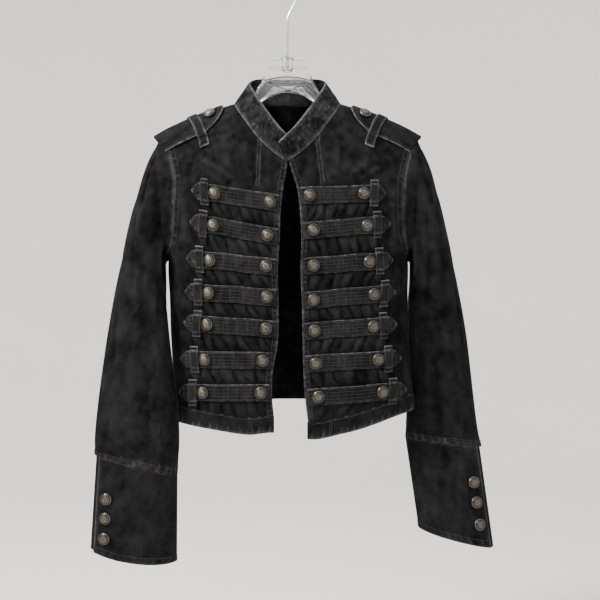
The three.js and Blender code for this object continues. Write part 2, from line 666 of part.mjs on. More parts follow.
// A point of a flattened tube: a turn of 0 is its front, 90 its outer edge.
function tubePoint(section, turn, out = 0) {
  const power = 2 / SLEEVE_POWER;
  const across = Math.sign(Math.sin(turn)) * Math.abs(Math.sin(turn)) ** power;
  const forward = Math.sign(Math.cos(turn)) * Math.abs(Math.cos(turn)) ** power;
  const middle = new THREE.Vector3(
    (section.outX + section.inX) / 2,
    section.y,
    (section.outZ + section.inZ) / 2,
  );
  const half = new THREE.Vector3(section.outX, section.y, section.outZ).sub(middle);
  const grown = 1 + out / half.length();
  return middle
    .addScaledVector(half, across * grown)
    .add(new THREE.Vector3(0, -forward * (section.deep + out), 0));
}

const unsigned = (side, row) => ({
  ...row,
  outX: signOf[side] * row.outX,
  inX: signOf[side] * row.inX,
});

// The armhole's own section, a little outside the panels' edges.
function armholePoint(side, turn) {
  const seam = body[`${side}Seam`];
  const up = (1 + Math.sign(Math.sin(turn)) * Math.abs(Math.sin(turn)) ** 0.8) / 2;
  const z = lerp(UNDERARM_Z, SHOULDER_TIP_Z, up);
  const face = Math.cos(turn) >= 0 ? "front" : "back";
  const x = seam(z);
  const point = skin(face, signOf[side] * x, z);
  return {
    point: new THREE.Vector3(x + ARMHOLE_GAP, point.y, z),
    normal: torsoNormal(face, signOf[side] * x, z),
  };
}

function sleeve(side) {
  const sections = SLEEVES[side].map((row) => unsigned(side, row));
  const at = between(sections);
  const last = sections.length - 1;
  const around = 20;
  const turns = spaced(around).slice(0, -1).map((t) => rad(360 * t));
  const stops = [0, ...spaced(16).map((t) => lerp(1, last, t))];
  const swell = (share, turn) =>
    SLEEVE_FOLDS[side].reduce((high, fold) => {
      const t = (share - fold.from) / (fold.to - fold.from);
      if (t <= 0 || t >= 1) return high;
      const middle = lerp(fold.turn0, fold.turn1, t);
      const off = ((THREE.MathUtils.radToDeg(turn) - middle + 540) % 360) - 180;
      const ends = smooth(Math.min(t, 1 - t) * 5);
      return high + fold.high * ends * Math.exp(-((off / fold.wide) ** 2));
    }, 0);
  const rows = stops.map((t) =>
    turns.map((turn) =>
      t === 0 ? armholePoint(side, turn).point : tubePoint(at(t), turn, swell(t / last, turn)),
    ),
  );
  const seamNormals = turns.map((turn) => {
    const { normal } = armholePoint(side, turn);
    return new THREE.Vector3(signOf[side] * normal.x, normal.y, normal.z);
  });
  return wall(mirrored(side, rows), CLOTH, { around: true, normals: mirrored(side, [seamNormals]) });
}

// A cuff goes round from its lower layer's end, by the back, to its upper layer's end on the front.
function cuffSection(side, share) {
  const upper = unsigned(side, SLEEVES[side].at(-1));
  const lower = unsigned(side, CUFFS[side].lower);
  return Object.fromEntries(Object.keys(upper).map((key) => [key, lerp(upper[key], lower[key], share)]));
}

function cuffPoint(side, share, turn, out) {
  const point = tubePoint(cuffSection(side, share), rad(turn), out);
  const middle = 1 - Math.sin(rad(turn)) ** 2;
  point.z -= 4 * SEAM + CUFFS[side].dip * middle * share;
  return point;
}

// Where a cuff button stands on the upper layer, and the way it faces.
function cuffSeat(side, share) {
  const at = (along, turn) => cuffPoint(side, share + along, CUFF_BUTTON + turn, 0);
  const normal = new THREE.Vector3()
    .subVectors(at(0.05, 0), at(-0.05, 0))
    .cross(new THREE.Vector3().subVectors(at(0, 2), at(0, -2)))
    .normalize();
  const seat = cuffPoint(side, share, CUFF_BUTTON, 0.4 + LIFT);
  const [[point]] = mirrored(side, [[seat]]);
  const [[facing]] = mirrored(side, [[normal]]);
  return { point, normal: facing };
}

function cuff(side) {
  const inset = DOUBLE + LIFT;
  const turns = spaced(26).map((t) => lerp(CUFF_UNDER_END, 360 + CUFF_END, t));
  const rows = spaced(3).map((share) =>
    turns.map((turn) => {
      const rise = smooth((turn - CUFF_END - 25) / 130);
      return cuffPoint(side, share, turn, 0.4 - inset * (1 - rise));
    }),
  );
  return wall(mirrored(side, rows), DOUBLE);
}

function solid(geometry) {
  const plain = geometry.clone();
  plain.deleteAttribute("normal");
  plain.deleteAttribute("uv");
  const merged = mergeVertices(plain, 1e-4);
  return new wasm.Manifold(
    new wasm.Mesh({
      numProp: 3,
      vertProperties: merged.attributes.position.array,
      triVerts: new Uint32Array(merged.index.array),
    }),
  );
}

function joined(...pieces) {
  const mesh = pieces.map(solid).reduce((all, piece) => all.add(piece)).getMesh();
  const geometry = new THREE.BufferGeometry();
  geometry.setAttribute("position", new THREE.BufferAttribute(mesh.vertProperties, 3));
  geometry.setIndex(new THREE.BufferAttribute(mesh.triVerts, 1));
  return geometry;
}

// A wall that lies on a front panel, from rows of places and how far each is moved out.
function laid(rows) {
  return wall(
    rows.map((row) => row.map(({ x, z, out }) => skin("front", x, z, out))),
    DOUBLE,
    { normals: rows.map((row) => row.map(({ x, z }) => torsoNormal("front", x, z))) },
  );
}

// A strap with its pointed end passed through a keeper, both sewn to the front panel.
function strapAndKeeper(side, strap) {
  const sign = signOf[side];
  const startX = frontEdge[side](strap.inZ) + sign * STRAP_EDGE_X;
  const pointX = strap.tipX - sign * STRAP_POINT;
  const keeperX = strap.outX + sign * KEEPER_REACH;
  const keeperEdges = [-1, 1].map((way) => keeperX + (sign * way * KEEPER_WIDE) / 2);
  const along = [
    ...spaced(5).map((t) => lerp(startX, keeperEdges[0], t)),
    keeperEdges[1],
    pointX,
    strap.tipX,
  ];
  if (sign < 0) along.reverse();
  const half = (x) => (x === strap.tipX ? 1.5 : STRAP_WIDE / 2);
  const band = laid(
    [1, -1].map((up) =>
      along.map((x) => ({ x, z: strapZ(strap, x) + up * half(x), out: LIFT + DOUBLE })),
    ),
  );
  const over = LIFT + 2 * DOUBLE - 0.5;
  const heights = [
    { up: KEEPER_TALL / 2, out: LIFT + DOUBLE + SEAM },
    { up: STRAP_WIDE / 2 + 3, out: LIFT + DOUBLE + SEAM },
    { up: STRAP_WIDE / 2 + 0.8, out: over },
  ];
  const below = [...heights].reverse().map(({ up, out }) => ({ up: -up, out }));
  const keeper = laid(
    [...heights, ...below].map(({ up, out }) =>
      [...keeperEdges].sort((a, b) => a - b).map((x) => ({ x, z: strapZ(strap, x) + up, out })),
    ),
  );
  return joined(band, keeper);
}

// A domed button with a rim, standing on +Y.
function buttonShape() {
  const profile = [
    [0, 0],
    [BUTTON_R - 0.7, 0],
    [BUTTON_R, 1.2],
    [BUTTON_R * 0.72, BUTTON_HIGH * 0.74],
    [0, BUTTON_HIGH],
  ].map(([r, y]) => new THREE.Vector2(r, y));
  return new THREE.LatheGeometry(profile, BUTTON_SIDES);
}

function placed(geometry, point, normal) {
  const turn = new THREE.Quaternion().setFromUnitVectors(new THREE.Vector3(0, 1, 0), normal);
  return geometry.applyQuaternion(turn).translate(...point);
}

// An epaulette sewn in at the armhole, with its keeper and the button that holds its inner end.
function epaulette(side) {
  const top = EPAULETTE_LIFT + DOUBLE;
  const flap = EPAULETTE.map(({ roll, innerX, outerX }) =>
    spaced(7).map((t) => overShoulder(lerp(innerX, outerX, t), roll, top).point),
  );
  const keeper = EPAULETTE_KEEPER.map(({ roll, x, over }) =>
    [-1, 1].map((way) => {
      const out = over ? top + DOUBLE - 0.8 : top;
      return overShoulder(x + (way * EPAULETTE_KEEPER_WIDE) / 2, roll, out).point;
    }),
  );
  const seat = overShoulder(EPAULETTE_BUTTON.x, EPAULETTE_BUTTON.roll, top - 0.6);
  const [[seatPoint]] = mirrored(side, [[seat.point]]);
  const [[seatNormal]] = mirrored(side, [[seat.normal]]);
  return joined(
    wall(mirrored(side, flap), DOUBLE),
    wall(mirrored(side, keeper), DOUBLE),
    placed(buttonShape(), seatPoint, seatNormal),
  );
}

// The hanger's plate and bar as one outline, and the wire hook that stands in the plate.
function hanger() {
  const tall = curve(BAR_TALL, "x", "tall");
  const top = (x) => ridge(x) - BAR.underRidge;
  const outer = spaced(6).map((t) => lerp(NECK_X + 6, BAR.endX, t));
  const half = [
    [PLATE.topX, PLATE.topZ],
    [PLATE.footX, PLATE.footZ],
    ...NECK_OF_BAR.map(({ topX, topZ }) => [topX, topZ]),
    ...outer.slice(1).map((x) => [x, top(x)]),
    [BAR.endX + 4, top(BAR.endX) - 5],
    ...[...outer].reverse().map((x) => [x, top(x) - tall(x)]),
    ...[...NECK_OF_BAR].reverse().map(({ footX, footZ }) => [footX, footZ]),
  ];
  const outline = [
    ...half,
    [0, BAR.bowZ],
    ...[...half].reverse().map(([x, z]) => [-x, z]),
  ].map(([x, z]) => new THREE.Vector2(x, z));
  const plate = new THREE.ExtrudeGeometry(new THREE.Shape(outline), {
    depth: BAR.thick - 2 * BAR.bevel,
    bevelThickness: BAR.bevel,
    bevelSize: BAR.bevel,
    bevelOffset: -BAR.bevel,
    bevelSegments: 1,
  });
  plate.rotateX(Math.PI / 2).translate(0, BAR.thick / 2 - BAR.bevel, 0);

  const bend = spaced(9).map((t) => rad(lerp(-50, 212, t)));
  const line = new THREE.CatmullRomCurve3([
    new THREE.Vector3(0, 0, SHANK_FOOT_Z),
    new THREE.Vector3(0, 0, (SHANK_FOOT_Z + SHANK_TOP_Z) / 2),
    new THREE.Vector3(0, 0, SHANK_TOP_Z),
    ...bend.map(
      (turn) =>
        new THREE.Vector3(
          HOOK_R * Math.cos(turn),
          0,
          HOOK_R * Math.sin(turn) + WIRE_R - HOOK_R,
        ),
    ),
  ]);
  const round = new THREE.Shape(
    spaced(8).slice(1).map((t) =>
      new THREE.Vector2(WIRE_R, 0).rotateAround(new THREE.Vector2(), 2 * Math.PI * t),
    ),
  );
  const hook = new THREE.ExtrudeGeometry(round, { steps: 34, extrudePath: line });
  return joined(plate, hook);
}

const material = (colour, roughness, metalness = 0) =>
  new THREE.MeshStandardMaterial({ color: colour, roughness, metalness });
const denim = material(0x2a2a2d, 0.9);
const silver = material(0x9a958a, 0.38, 1);
const clearPlastic = material(0xd8dcde, 0.15);

const jacket = new THREE.Group();

function add(name, geometry, finish = denim) {
  const mesh = new THREE.Mesh(geometry, finish);
  mesh.name = name;
  jacket.add(mesh);
}

add("back", backPanel());
add("collar", collar());
add("hem_band", hemBand());
add("hanger", hanger(), clearPlastic);
// Names give the wearer's side, which is the other way round for the viewer.
for (const [side, wearer] of [["left", "right"], ["right", "left"]]) {
  add(`front_${wearer}`, frontPanel(side));
  add(`sleeve_${wearer}`, sleeve(side));
  add(`cuff_${wearer}`, cuff(side));
  add(`epaulette_${wearer}`, epaulette(side));
  STRAPS[side].forEach((strap, row) => {
    add(`strap_${wearer}_${row + 1}`, strapAndKeeper(side, strap));
    const seat = LIFT + DOUBLE + LIFT;
    for (const [end, x, z] of [
      ["inner", strap.inX, strap.inZ],
      ["outer", strap.outX, strap.outZ],
    ])
      add(
        `button_${wearer}_${row + 1}_${end}`,
        placed(buttonShape(), skin("front", x, z, seat), torsoNormal("front", x, z)),
        silver,
      );
  });
  CUFFS[side].buttons.forEach((share, row) => {
    const { point, normal } = cuffSeat(side, share);
    add(`cuff_button_${wearer}_${row + 1}`, placed(buttonShape(), point, normal), silver);
  });
}

export default jacket;
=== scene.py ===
"""A cropped denim jacket of military cut on a clear hanger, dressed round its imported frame.

Shapes are worked out in millimetres, +Z up, with the front towards -Y, and put into the meshes in metres.
"left" and "right" are the viewer's sides in tables, and the wearer's sides in the names of pieces.
"""

import math

import bpy
import numpy as np
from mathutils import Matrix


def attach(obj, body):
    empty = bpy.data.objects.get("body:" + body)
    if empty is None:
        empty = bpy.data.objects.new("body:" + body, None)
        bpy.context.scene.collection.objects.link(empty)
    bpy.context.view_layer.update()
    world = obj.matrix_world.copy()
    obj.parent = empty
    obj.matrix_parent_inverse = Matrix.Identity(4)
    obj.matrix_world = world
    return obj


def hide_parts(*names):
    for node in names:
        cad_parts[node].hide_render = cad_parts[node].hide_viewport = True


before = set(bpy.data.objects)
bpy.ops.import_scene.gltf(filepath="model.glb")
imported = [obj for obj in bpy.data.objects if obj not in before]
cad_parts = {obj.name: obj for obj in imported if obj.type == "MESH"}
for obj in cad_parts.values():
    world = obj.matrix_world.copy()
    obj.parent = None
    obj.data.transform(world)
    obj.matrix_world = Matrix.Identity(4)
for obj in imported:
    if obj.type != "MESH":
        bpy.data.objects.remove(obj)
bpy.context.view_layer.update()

# Camera
# It stands straight in front of the jacket, level with its middle, as the photograph was taken.
CAMERA_AT = (0.0195, -1.4, -0.5015)
VIEW_WIDE = 0.9  # metres across the picture, at the plane of the fronts
FRONTS_Y = -0.05
SENSOR = 36

camera = bpy.data.objects.new("camera", bpy.data.cameras.new("camera"))
camera.location = CAMERA_AT
camera.rotation_euler = (math.radians(90), 0, 0)
camera.data.sensor_width = SENSOR
camera.data.lens = SENSOR * (FRONTS_Y - CAMERA_AT[1]) / VIEW_WIDE
bpy.context.scene.collection.objects.link(camera)
bpy.context.scene.camera = camera

# Hook of the hanger
# A round steel wire, bent over at the top to hang on a rail and moulded into the plastic at its foot.
# It is bright plated wire, drawn smooth.
MM = 0.001
WIRE_R = 2.1
HOOK_R = 21  # of the wire's own line
SHANK_TOP_Z = -56
SHANK_FOOT_Z = -140
HOOK_BEND = (-50, 212)  # degrees round the hook, from its shank to its tip


def put_mesh(name, points, faces, corner_uv=None, values=None):
    """A smooth mesh object from points in millimetres and quads as rows of four indices."""
    mesh = bpy.data.meshes.new(name)
    mesh.vertices.add(len(points))
    mesh.vertices.foreach_set("co", (np.asarray(points, float) * MM).ravel())
    faces = np.asarray(faces, np.int32)
    mesh.loops.add(faces.size)
    mesh.loops.foreach_set("vertex_index", faces.ravel())
    mesh.polygons.add(len(faces))
    mesh.polygons.foreach_set("loop_start", np.arange(0, faces.size, faces.shape[1], dtype=np.int32))
    mesh.update(calc_edges=True)
    if corner_uv is not None:
        mesh.uv_layers.new(name="cloth").data.foreach_set("uv", np.asarray(corner_uv, np.float32).ravel())
    for key, value in (values or {}).items():
        mesh.attributes.new(key, "FLOAT", "POINT").data.foreach_set("value", np.asarray(value, np.float32))
    mesh.polygons.foreach_set("use_smooth", np.ones(len(faces), bool))
    mesh.validate()
    made = bpy.data.objects.new(name, mesh)
    bpy.context.scene.collection.objects.link(made)
    return made


def unit(vectors):
    """Each vector divided by its own length."""
    return vectors / np.maximum(np.linalg.norm(vectors, axis=-1, keepdims=True), 1e-9)


def ringed(rings, closed=False, lids=2):
    """Points and outward quads of a skin over rings of points, seen turning against the clock as the
    rings go away. Unless it is closed on itself, its ends get lids of quads, the first ring's first."""
    down, around = rings.shape[:2]
    i, j = np.meshgrid(np.arange(down if closed else down - 1), np.arange(around), indexing="ij")
    i, j = i.ravel(), j.ravel()
    after, beside = (i + 1) % down, (j + 1) % around
    faces = np.stack([i * around + j, i * around + beside, after * around + beside, after * around + j], 1)
    if not closed:
        lid = np.array([[0, k, k + 1, k + 2] for k in range(1, around - 2, 2)])
        faces = np.concatenate([faces, *[lid[:, ::-1], lid + (down - 1) * around][:lids]])
    return rings.reshape(-1, 3), faces


def tube(line, wide, deep, side, around=12, closed=False):
    """A tube round a line: each point plus wide times the cosine along one way and deep times the sine
    along side. An open tube narrows at both ends and is closed there."""
    line = np.asarray(line, float)
    ahead = np.roll(line, -1, 0) - np.roll(line, 1, 0)
    if not closed:
        ahead[0] = line[1] - line[0]
        ahead[-1] = line[-1] - line[-2]
    ahead = unit(ahead)
    side = np.broadcast_to(np.asarray(side, float), line.shape)
    across = unit(np.cross(side, ahead))
    turn = np.linspace(0, 2 * np.pi, around, endpoint=False)[None, :, None]
    ring = wide * np.cos(turn) * across[:, None] + deep * np.sin(turn) * side[:, None]
    rings = line[:, None] + ring
    if not closed:
        ends = ((0.3, 0.5), (0.75, 0.35))  # size of each narrower ring, and how far out it stands
        first = [line[0] + ring[0] * size - ahead[0] * wide * far for size, far in ends]
        last = [line[-1] + ring[-1] * size + ahead[-1] * wide * far for size, far in ends[::-1]]
        rings = np.concatenate([first, rings, last])
    return ringed(rings, closed)


def node(tree, kind, links=None, **settings):
    """A shader node with its settings, its inputs linked or set."""
    made = tree.nodes.new("ShaderNode" + kind)
    for key, value in settings.items():
        setattr(made, key, value)
    for key, value in (links or {}).items():
        if isinstance(value, bpy.types.NodeSocket):
            tree.links.new(value, made.inputs[key])
        else:
            made.inputs[key].default_value = value
    return made


def material(name, **values):
    """A material whose Principled BSDF has these plain values, by socket name with _ for a space."""
    made = bpy.data.materials.new(name)
    made.use_nodes = True
    shader = made.node_tree.nodes["Principled BSDF"]
    for key, value in values.items():
        shader.inputs[key.replace("_", " ")].default_value = value
    return made, made.node_tree, shader


def noise(tree, place, scale, detail=3, roughness=0.5):
    """A noise value from 0 to 1 at a place."""
    links = {"Vector": place, "Scale": scale, "Detail": detail, "Roughness": roughness}
    return node(tree, "TexNoise", links).outputs["Fac"]


def maths(tree, operation, a, b=0.0, clamp=False):
    """One sum of two values."""
    return node(tree, "Math", {0: a, 1: b}, operation=operation, use_clamp=clamp).outputs[0]


def embossed(tree, shader, height, distance, strength):
    """Lets a value stand out of a surface by so many metres."""
    bump = node(tree, "Bump", {"Height": height, "Distance": distance, "Strength": strength})
    tree.links.new(bump.outputs[0], shader.inputs["Normal"])


wire_bend = np.radians(np.linspace(*HOOK_BEND, 40))
wire_line = np.concatenate([
    np.stack([np.zeros(12), np.zeros(12), np.linspace(SHANK_FOOT_Z, SHANK_TOP_Z, 12)], 1),
    np.stack([HOOK_R * np.cos(wire_bend), 0 * wire_bend, HOOK_R * np.sin(wire_bend) + WIRE_R - HOOK_R], 1),
])
for _ in range(2):  # the shank runs into the hook in a soft bend
    wire_line[11:14] = (wire_line[10:13] + wire_line[12:15]) / 2
wire = put_mesh("hook_wire", *tube(wire_line, WIRE_R, WIRE_R, (0, 1, 0)))

plated, tree, shader = material("plated wire", Metallic=1.0, Base_Color=(0.62, 0.63, 0.65, 1), Roughness=0.22)
place = node(tree, "TexCoord").outputs["Object"]
drawn = noise(tree, node(tree, "Mapping", {"Vector": place, "Scale": (900, 900, 60)}).outputs[0], 1.0)
embossed(tree, shader, drawn, 0.0001, 0.25)
tree.links.new(maths(tree, "MULTIPLY_ADD", drawn, 0.2), shader.inputs["Roughness"])
tree.nodes["Math"].inputs[2].default_value = 0.14
wire.data.materials.append(plated)
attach(wire, "root")

# Body of the hanger
# One moulding of clear plastic: a frame that carries the wire, a thin web down to the neck and two
# arms that follow the shoulders. Its rim is thick and rounded, and its web is thin.
RIM = {"wide": 2.6, "deep": 4.0}
WEB = 1.4
PLATE = {"top_x": 26.5, "top_z": -127, "foot_x": 37, "foot_z": -161}
WINDOW = {"x": 21, "foot_z": -141, "boss": 9}
BOW_Z = -176
ARM_END_X = 182
ARM_DROP = 2.7  # under the ridge of the shoulder


def table(names, rows):
    """Columns of numbers by name, from listed rows."""
    return dict(zip(names.split(), np.array(rows, float).T))


def curve(columns, key, value):
    """A smooth line through one column, read by another: a cubic between rows, its slope at each row
    the slope between its two neighbours."""
    order = np.argsort(columns[key])
    at, is_ = columns[key][order], columns[value][order]
    index = np.arange(len(at))
    before, after = np.maximum(index - 1, 0), np.minimum(index + 1, len(at) - 1)
    slope = (is_[after] - is_[before]) / (at[after] - at[before])

    def read(where):
        """The cubic of the span that a place lies in."""
        where = np.clip(where, at[0], at[-1])
        i = np.clip(np.searchsorted(at, where, side="right") - 1, 0, len(at) - 2)
        span = at[i + 1] - at[i]
        t = (where - at[i]) / span
        return (
            (2 * t**3 - 3 * t**2 + 1) * is_[i]
            + (t**3 - 2 * t**2 + t) * span * slope[i]
            + (3 * t**2 - 2 * t**3) * is_[i + 1]
            + (t**3 - t**2) * span * slope[i + 1]
        )

    return read


RIDGE = table("x z", [
    (0, -189), (45, -191), (82, -197), (110, -206), (140, -218), (165, -229), (195, -243), (212, -252),
])
ridge_half = curve(RIDGE, "x", "z")


def ridge(x):
    """Height of the shoulder's ridge at a distance from the middle."""
    return ridge_half(np.abs(x))


def lengths(line):
    """How far along a line of points each of them lies."""
    return np.concatenate([[0], np.cumsum(np.linalg.norm(np.diff(line, axis=0), axis=1))])


def through(points, count, closed=False):
    """A smooth line through points, by the same cubic as a table's, at even steps of its own count."""
    points = np.asarray(points, float)
    if closed:
        points = np.concatenate([points, points[:1]])
    step = lengths(points)
    columns = {"at": step, **{axis: points[:, k] for k, axis in enumerate("xyz")}}
    places = np.linspace(0, step[-1], count, endpoint=not closed)
    return np.stack([curve(columns, "at", axis)(places) for axis in "xyz"], 1)


def flat_line(rows):
    """Points on the hanger's middle plane, from pairs of x and z."""
    rows = np.asarray(rows, float)
    return np.stack([rows[:, 0], 0 * rows[:, 0], rows[:, 1]], 1)


def joined(pieces):
    """Several meshes' points and faces as one."""
    points, faces, start = [], [], 0
    for some_points, some_faces in pieces:
        points.append(some_points)
        faces.append(some_faces + start)
        start += len(some_points)
    return np.concatenate(points), np.concatenate(faces)


arm_x = np.linspace(92, ARM_END_X, 8)
arm_top = np.stack([arm_x, ridge(arm_x) - ARM_DROP - RIM["wide"]], 1)
arm_foot = np.stack([arm_x, ridge(arm_x) - ARM_DROP - np.interp(arm_x, [60, 110, 180], [17, 15, 10])], 1)
upper_edge = np.concatenate([[(PLATE["foot_x"], PLATE["foot_z"]), (54, -186), (74, -202)], arm_top])
lower_edge = np.concatenate([[(20, -180), (41, -192), (64, -207)], arm_foot])
outline = np.concatenate([
    [(PLATE["top_x"] - 3, PLATE["top_z"]), (PLATE["top_x"], PLATE["top_z"] - 3)],
    upper_edge,
    [(ARM_END_X + 4, ridge(ARM_END_X) - 9)],
    lower_edge[::-1],
    [(0, BOW_Z)],
])
whole_outline = np.concatenate([outline, (outline[:-1] * (-1, 1))[::-1]])
rim = tube(through(flat_line(whole_outline), 420, True), RIM["wide"], RIM["deep"], (0, 1, 0), 12, True)
bar_x, bar_z = WINDOW["x"] + 8, WINDOW["foot_z"]
bars = [
    through(flat_line([(-36, -161), (-18, -157), (0, -155.5), (18, -157), (36, -161)]), 40),
    through(flat_line([(-bar_x, bar_z), (0, bar_z + 1), (bar_x, bar_z)]), 24),
]
bars = [tube(line, RIM["wide"] * 0.8, RIM["deep"] * 0.85, (0, 1, 0), 10) for line in bars]
boss = tube(flat_line([(0, PLATE["top_z"] + 1), (0, WINDOW["foot_z"] - 2)]), WINDOW["boss"], 5, (0, 1, 0), 20)

# The web is a strip between the upper and the lower edge, and its own wall is thin.
web_top = through(flat_line(upper_edge), 60)
web_foot = through(flat_line(np.concatenate([[(0, BOW_Z)], lower_edge])), 60)


def strip(top, foot, thick):
    """A thin closed wall between two lines on the hanger's plane."""
    count = len(top)
    layers = [line + (0, y, 0) for line in (top, foot) for y in (-thick / 2, thick / 2)]
    points = np.concatenate([layers[0], layers[2], layers[3], layers[1]])
    j = np.arange(count - 1)
    faces = [
        np.stack([a * count + j, b * count + j, b * count + j + 1, a * count + j + 1], 1)
        for a, b in ((0, 1), (1, 2), (2, 3), (3, 0))
    ]
    ends = [[0, 3 * count, 2 * count, count], [count - 1, 2 * count - 1, 3 * count - 1, 4 * count - 1]]
    return points, np.concatenate([*faces, ends])


mirrored = [(line * (-1, 1, 1))[::-1] for line in (web_top, web_foot)]
web = [strip(web_top, web_foot, WEB), strip(*mirrored, WEB)]
neck_x = np.linspace(-PLATE["foot_x"], PLATE["foot_x"], 30)
neck_web = strip(
    flat_line(np.stack([neck_x, 0 * neck_x + PLATE["foot_z"] + 2], 1)),
    flat_line(np.stack([neck_x * 0.02, BOW_Z + 0 * neck_x + 1], 1)),
    WEB * 0.98,
)
hanger_body = put_mesh("hanger_body", *joined([rim, *bars, boss, *web, neck_web]))
clear, tree, shader = material(
    "clear plastic",
    Base_Color=(0.93, 0.95, 0.96, 1),
    Roughness=0.07,
    IOR=1.49,
    Transmission_Weight=0.96,
    Specular_IOR_Level=0.6,
)
place = node(tree, "TexCoord").outputs["Object"]
scuffs = noise(tree, place, 90.0, 5, 0.65)
embossed(tree, shader, scuffs, 0.0004, 0.3)
hanger_body.data.materials.append(clear)
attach(hanger_body, "root")
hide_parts("hanger")

# Back
# One panel of washed black denim, over the shoulders to the seam on the front, with a felled seam
# down its middle. Its cloth is twill, worn grey along the edges and in the rubbed places.
CLOTH = 1.6
DOUBLE = 2.4
STAND = 2.8
SEAM = 0.2  # half of the gap left between two pieces at a seam
LIFT = 0.7
UNDERARM_Z = -436
SHOULDER_TIP_Z = -243
ARMHOLE_GAP = 1
EDGE_ROUND = 0.32  # how far the middle of a cut edge stands out, in thicknesses of the cloth
SIDE_CALM = 30  # folds fade out over this width beside a side seam
SECTION_POWER = 2.6  # 2 is an ellipse, and more is squarer
SHOULDER_FALL = 150
NECK_X = 82
NECK_RISE = 62
SEAM_ROLL = 17.5  # the shoulder seam's turn over the ridge, in degrees
HEM_BAND = 25
SIDE_HEM = {"left": -684, "right": -667}
SIGN = {"left": -1, "right": 1}
WEARER = {"left": "right", "right": "left"}
BODY = table("z left_wide right_wide front back left_seam right_seam", [
    (-190, 226, 230, 51, 40, 190, 193),
    (-238, 226, 230, 52, 42, 189, 193),
    (-272, 226, 230, 53, 44, 181, 188),
    (-315, 224, 228, 54, 46, 171, 178),
    (-365, 213, 216, 55, 47, 172, 175),
    (-410, 196, 199, 56, 48, 176, 179),
    (-436, 185, 187, 56, 48, 185, 187),
    (-500, 183, 187, 56, 48, 183, 187),
    (-560, 181, 189, 55, 48, 181, 189),
    (-610, 178, 192, 54, 49, 178, 192),
    (-655, 178, 196, 53, 50, 178, 196),
    (-712, 180, 198, 52, 50, 180, 198),
])
HEM = table("x front back", [
    (-200, -684, -684), (-172, -686, -681), (-150, -690, -675), (-105, -697, -667), (-58, -703, -662),
    (-20, -700, -660), (38, -710, -660), (82, -702, -661), (111, -695, -664), (139, -686, -667),
    (162, -678, -668), (200, -667, -667),
])
COLLAR = table("foot_x foot_z top_x top_y top_z", [
    (0, -194, 0, 37, -151), (34, -194, 28, 35, -151), (62, -195, 50, 27, -153), (78, -196.5, 60, 14, -159),
    (82, -199, 58, 2, -167), (76, -211, 51, -12, -181), (64, -229, 42, -25, -197), (50, -249, 31, -36, -214),
    (36, -265, 20, -44, -230), (20, -280, 9, -49, -244), (1, -293, -3, -52, -256),
])
COLLAR_BACK_ROWS = 4
# Soft ridges from one x and z to another, by height and width, or troughs where the height is below 0.
FOLDS = {
    "back": [
        (0, -205, 0, -630, -1.2, 5), (-150, -300, -70, -420, 3, 12), (150, -300, 60, -430, 3, 12),
        (-110, -470, -60, -620, 2.5, 10), (105, -480, 75, -620, 2.5, 10),
    ],
    "left": [
        (-132, -290, -84, -328, 3.5, 7), (-150, -286, -128, -322, 2.5, 7), (-46, -262, -46, -330, -1.5, 5),
    ],
    "right": [(140, -282, 96, -320, 3, 8), (52, -258, 54, -326, -1.5, 5)],
}
BACK_CREASES = [
    (-168, -420, -120, -372, 1.6, 7), (-170, -452, -112, -430, 1.4, 6), (168, -418, 118, -368, 1.6, 7),
    (172, -455, 110, -436, 1.4, 6), (-60, -300, -30, -352, 1.0, 9), (56, -310, 24, -362, 1.0, 9),
    (-34, -520, -24, -610, 1.4, 8), (38, -530, 30, -618, 1.3, 8), (-140, -560, -122, -632, 1.5, 8),
    (142, -556, 128, -626, 1.5, 8), (-88, -236, -60, -290, 1.2, 9), (92, -238, 66, -296, 1.2, 9),
    (-20, -215, -34, -262, 0.8, 8), (24, -216, 38, -258, 0.8, 8),
]
body = {name: curve(BODY, "z", name) for name in list(BODY)[1:]}
hem = {face: curve(HEM, "x", face) for face in ("front", "back")}
back_neck = curve({k: v[: COLLAR_BACK_ROWS + 1] for k, v in COLLAR.items()}, "foot_x", "foot_z")
front_neck = curve({k: v[COLLAR_BACK_ROWS:] for k, v in COLLAR.items()}, "foot_x", "foot_z")


def smooth(t):
    """A soft step from 0 to 1."""
    t = np.clip(t, 0, 1)
    return t * t * (3 - 2 * t)


def mix(a, b, t):
    """The value t of the way from a to b."""
    return a + (b - a) * t


def bell(far, wide):
    """1 in the middle, falling off to both sides: e to the power of -(far / wide) squared."""
    return np.exp(-((far / wide) ** 2))


def wide_at(x, z):
    """Half width of the body at a height."""
    return np.where(x < 0, body["left_wide"](z), body["right_wide"](z))


def inside_sides(x, z, reach=SIDE_CALM):
    """0 at the body's sides, rising to 1 a little inside them."""
    return smooth((wide_at(x, z) - np.abs(x)) / reach)


def depth_at(face, x, z):
    """Depth of the front or the back at a height, with its roll over the shoulder: the body's depth
    times the height of a quarter circle."""
    top = ridge(x)
    if face == "back":
        top = top + NECK_RISE * (1 - smooth(np.abs(x) / NECK_X))
    fall = np.clip((top - z) / SHOULDER_FALL, 0, 1)
    return body[face](z) * np.sqrt(1 - (1 - fall) ** 2)


def torso(face, x, z):
    """Depth of the body's plain surface at x and z, a superellipse across."""
    out = np.clip(np.abs(x) / wide_at(x, z), 0, 1)
    return depth_at(face, x, z) * (1 - out**SECTION_POWER) ** (1 / SECTION_POWER)


def torso_normal(face, x, z):
    """Outward direction of that surface, from the slopes of the superellipse."""
    deep = np.maximum(depth_at(face, x, z), 0.5)
    wide = wide_at(x, z)
    y = torso(face, x, z)
    slope = depth_at(face, x, z - 0.5) - depth_at(face, x, z + 0.5)
    power = SECTION_POWER - 1
    facing = -1 if face == "front" else 1
    return unit(np.stack([
        np.sign(x) * (np.abs(x) / wide) ** power / wide,
        facing * (y / deep) ** power / deep,
        (y / deep) ** SECTION_POWER * slope / deep,
    ], -1))


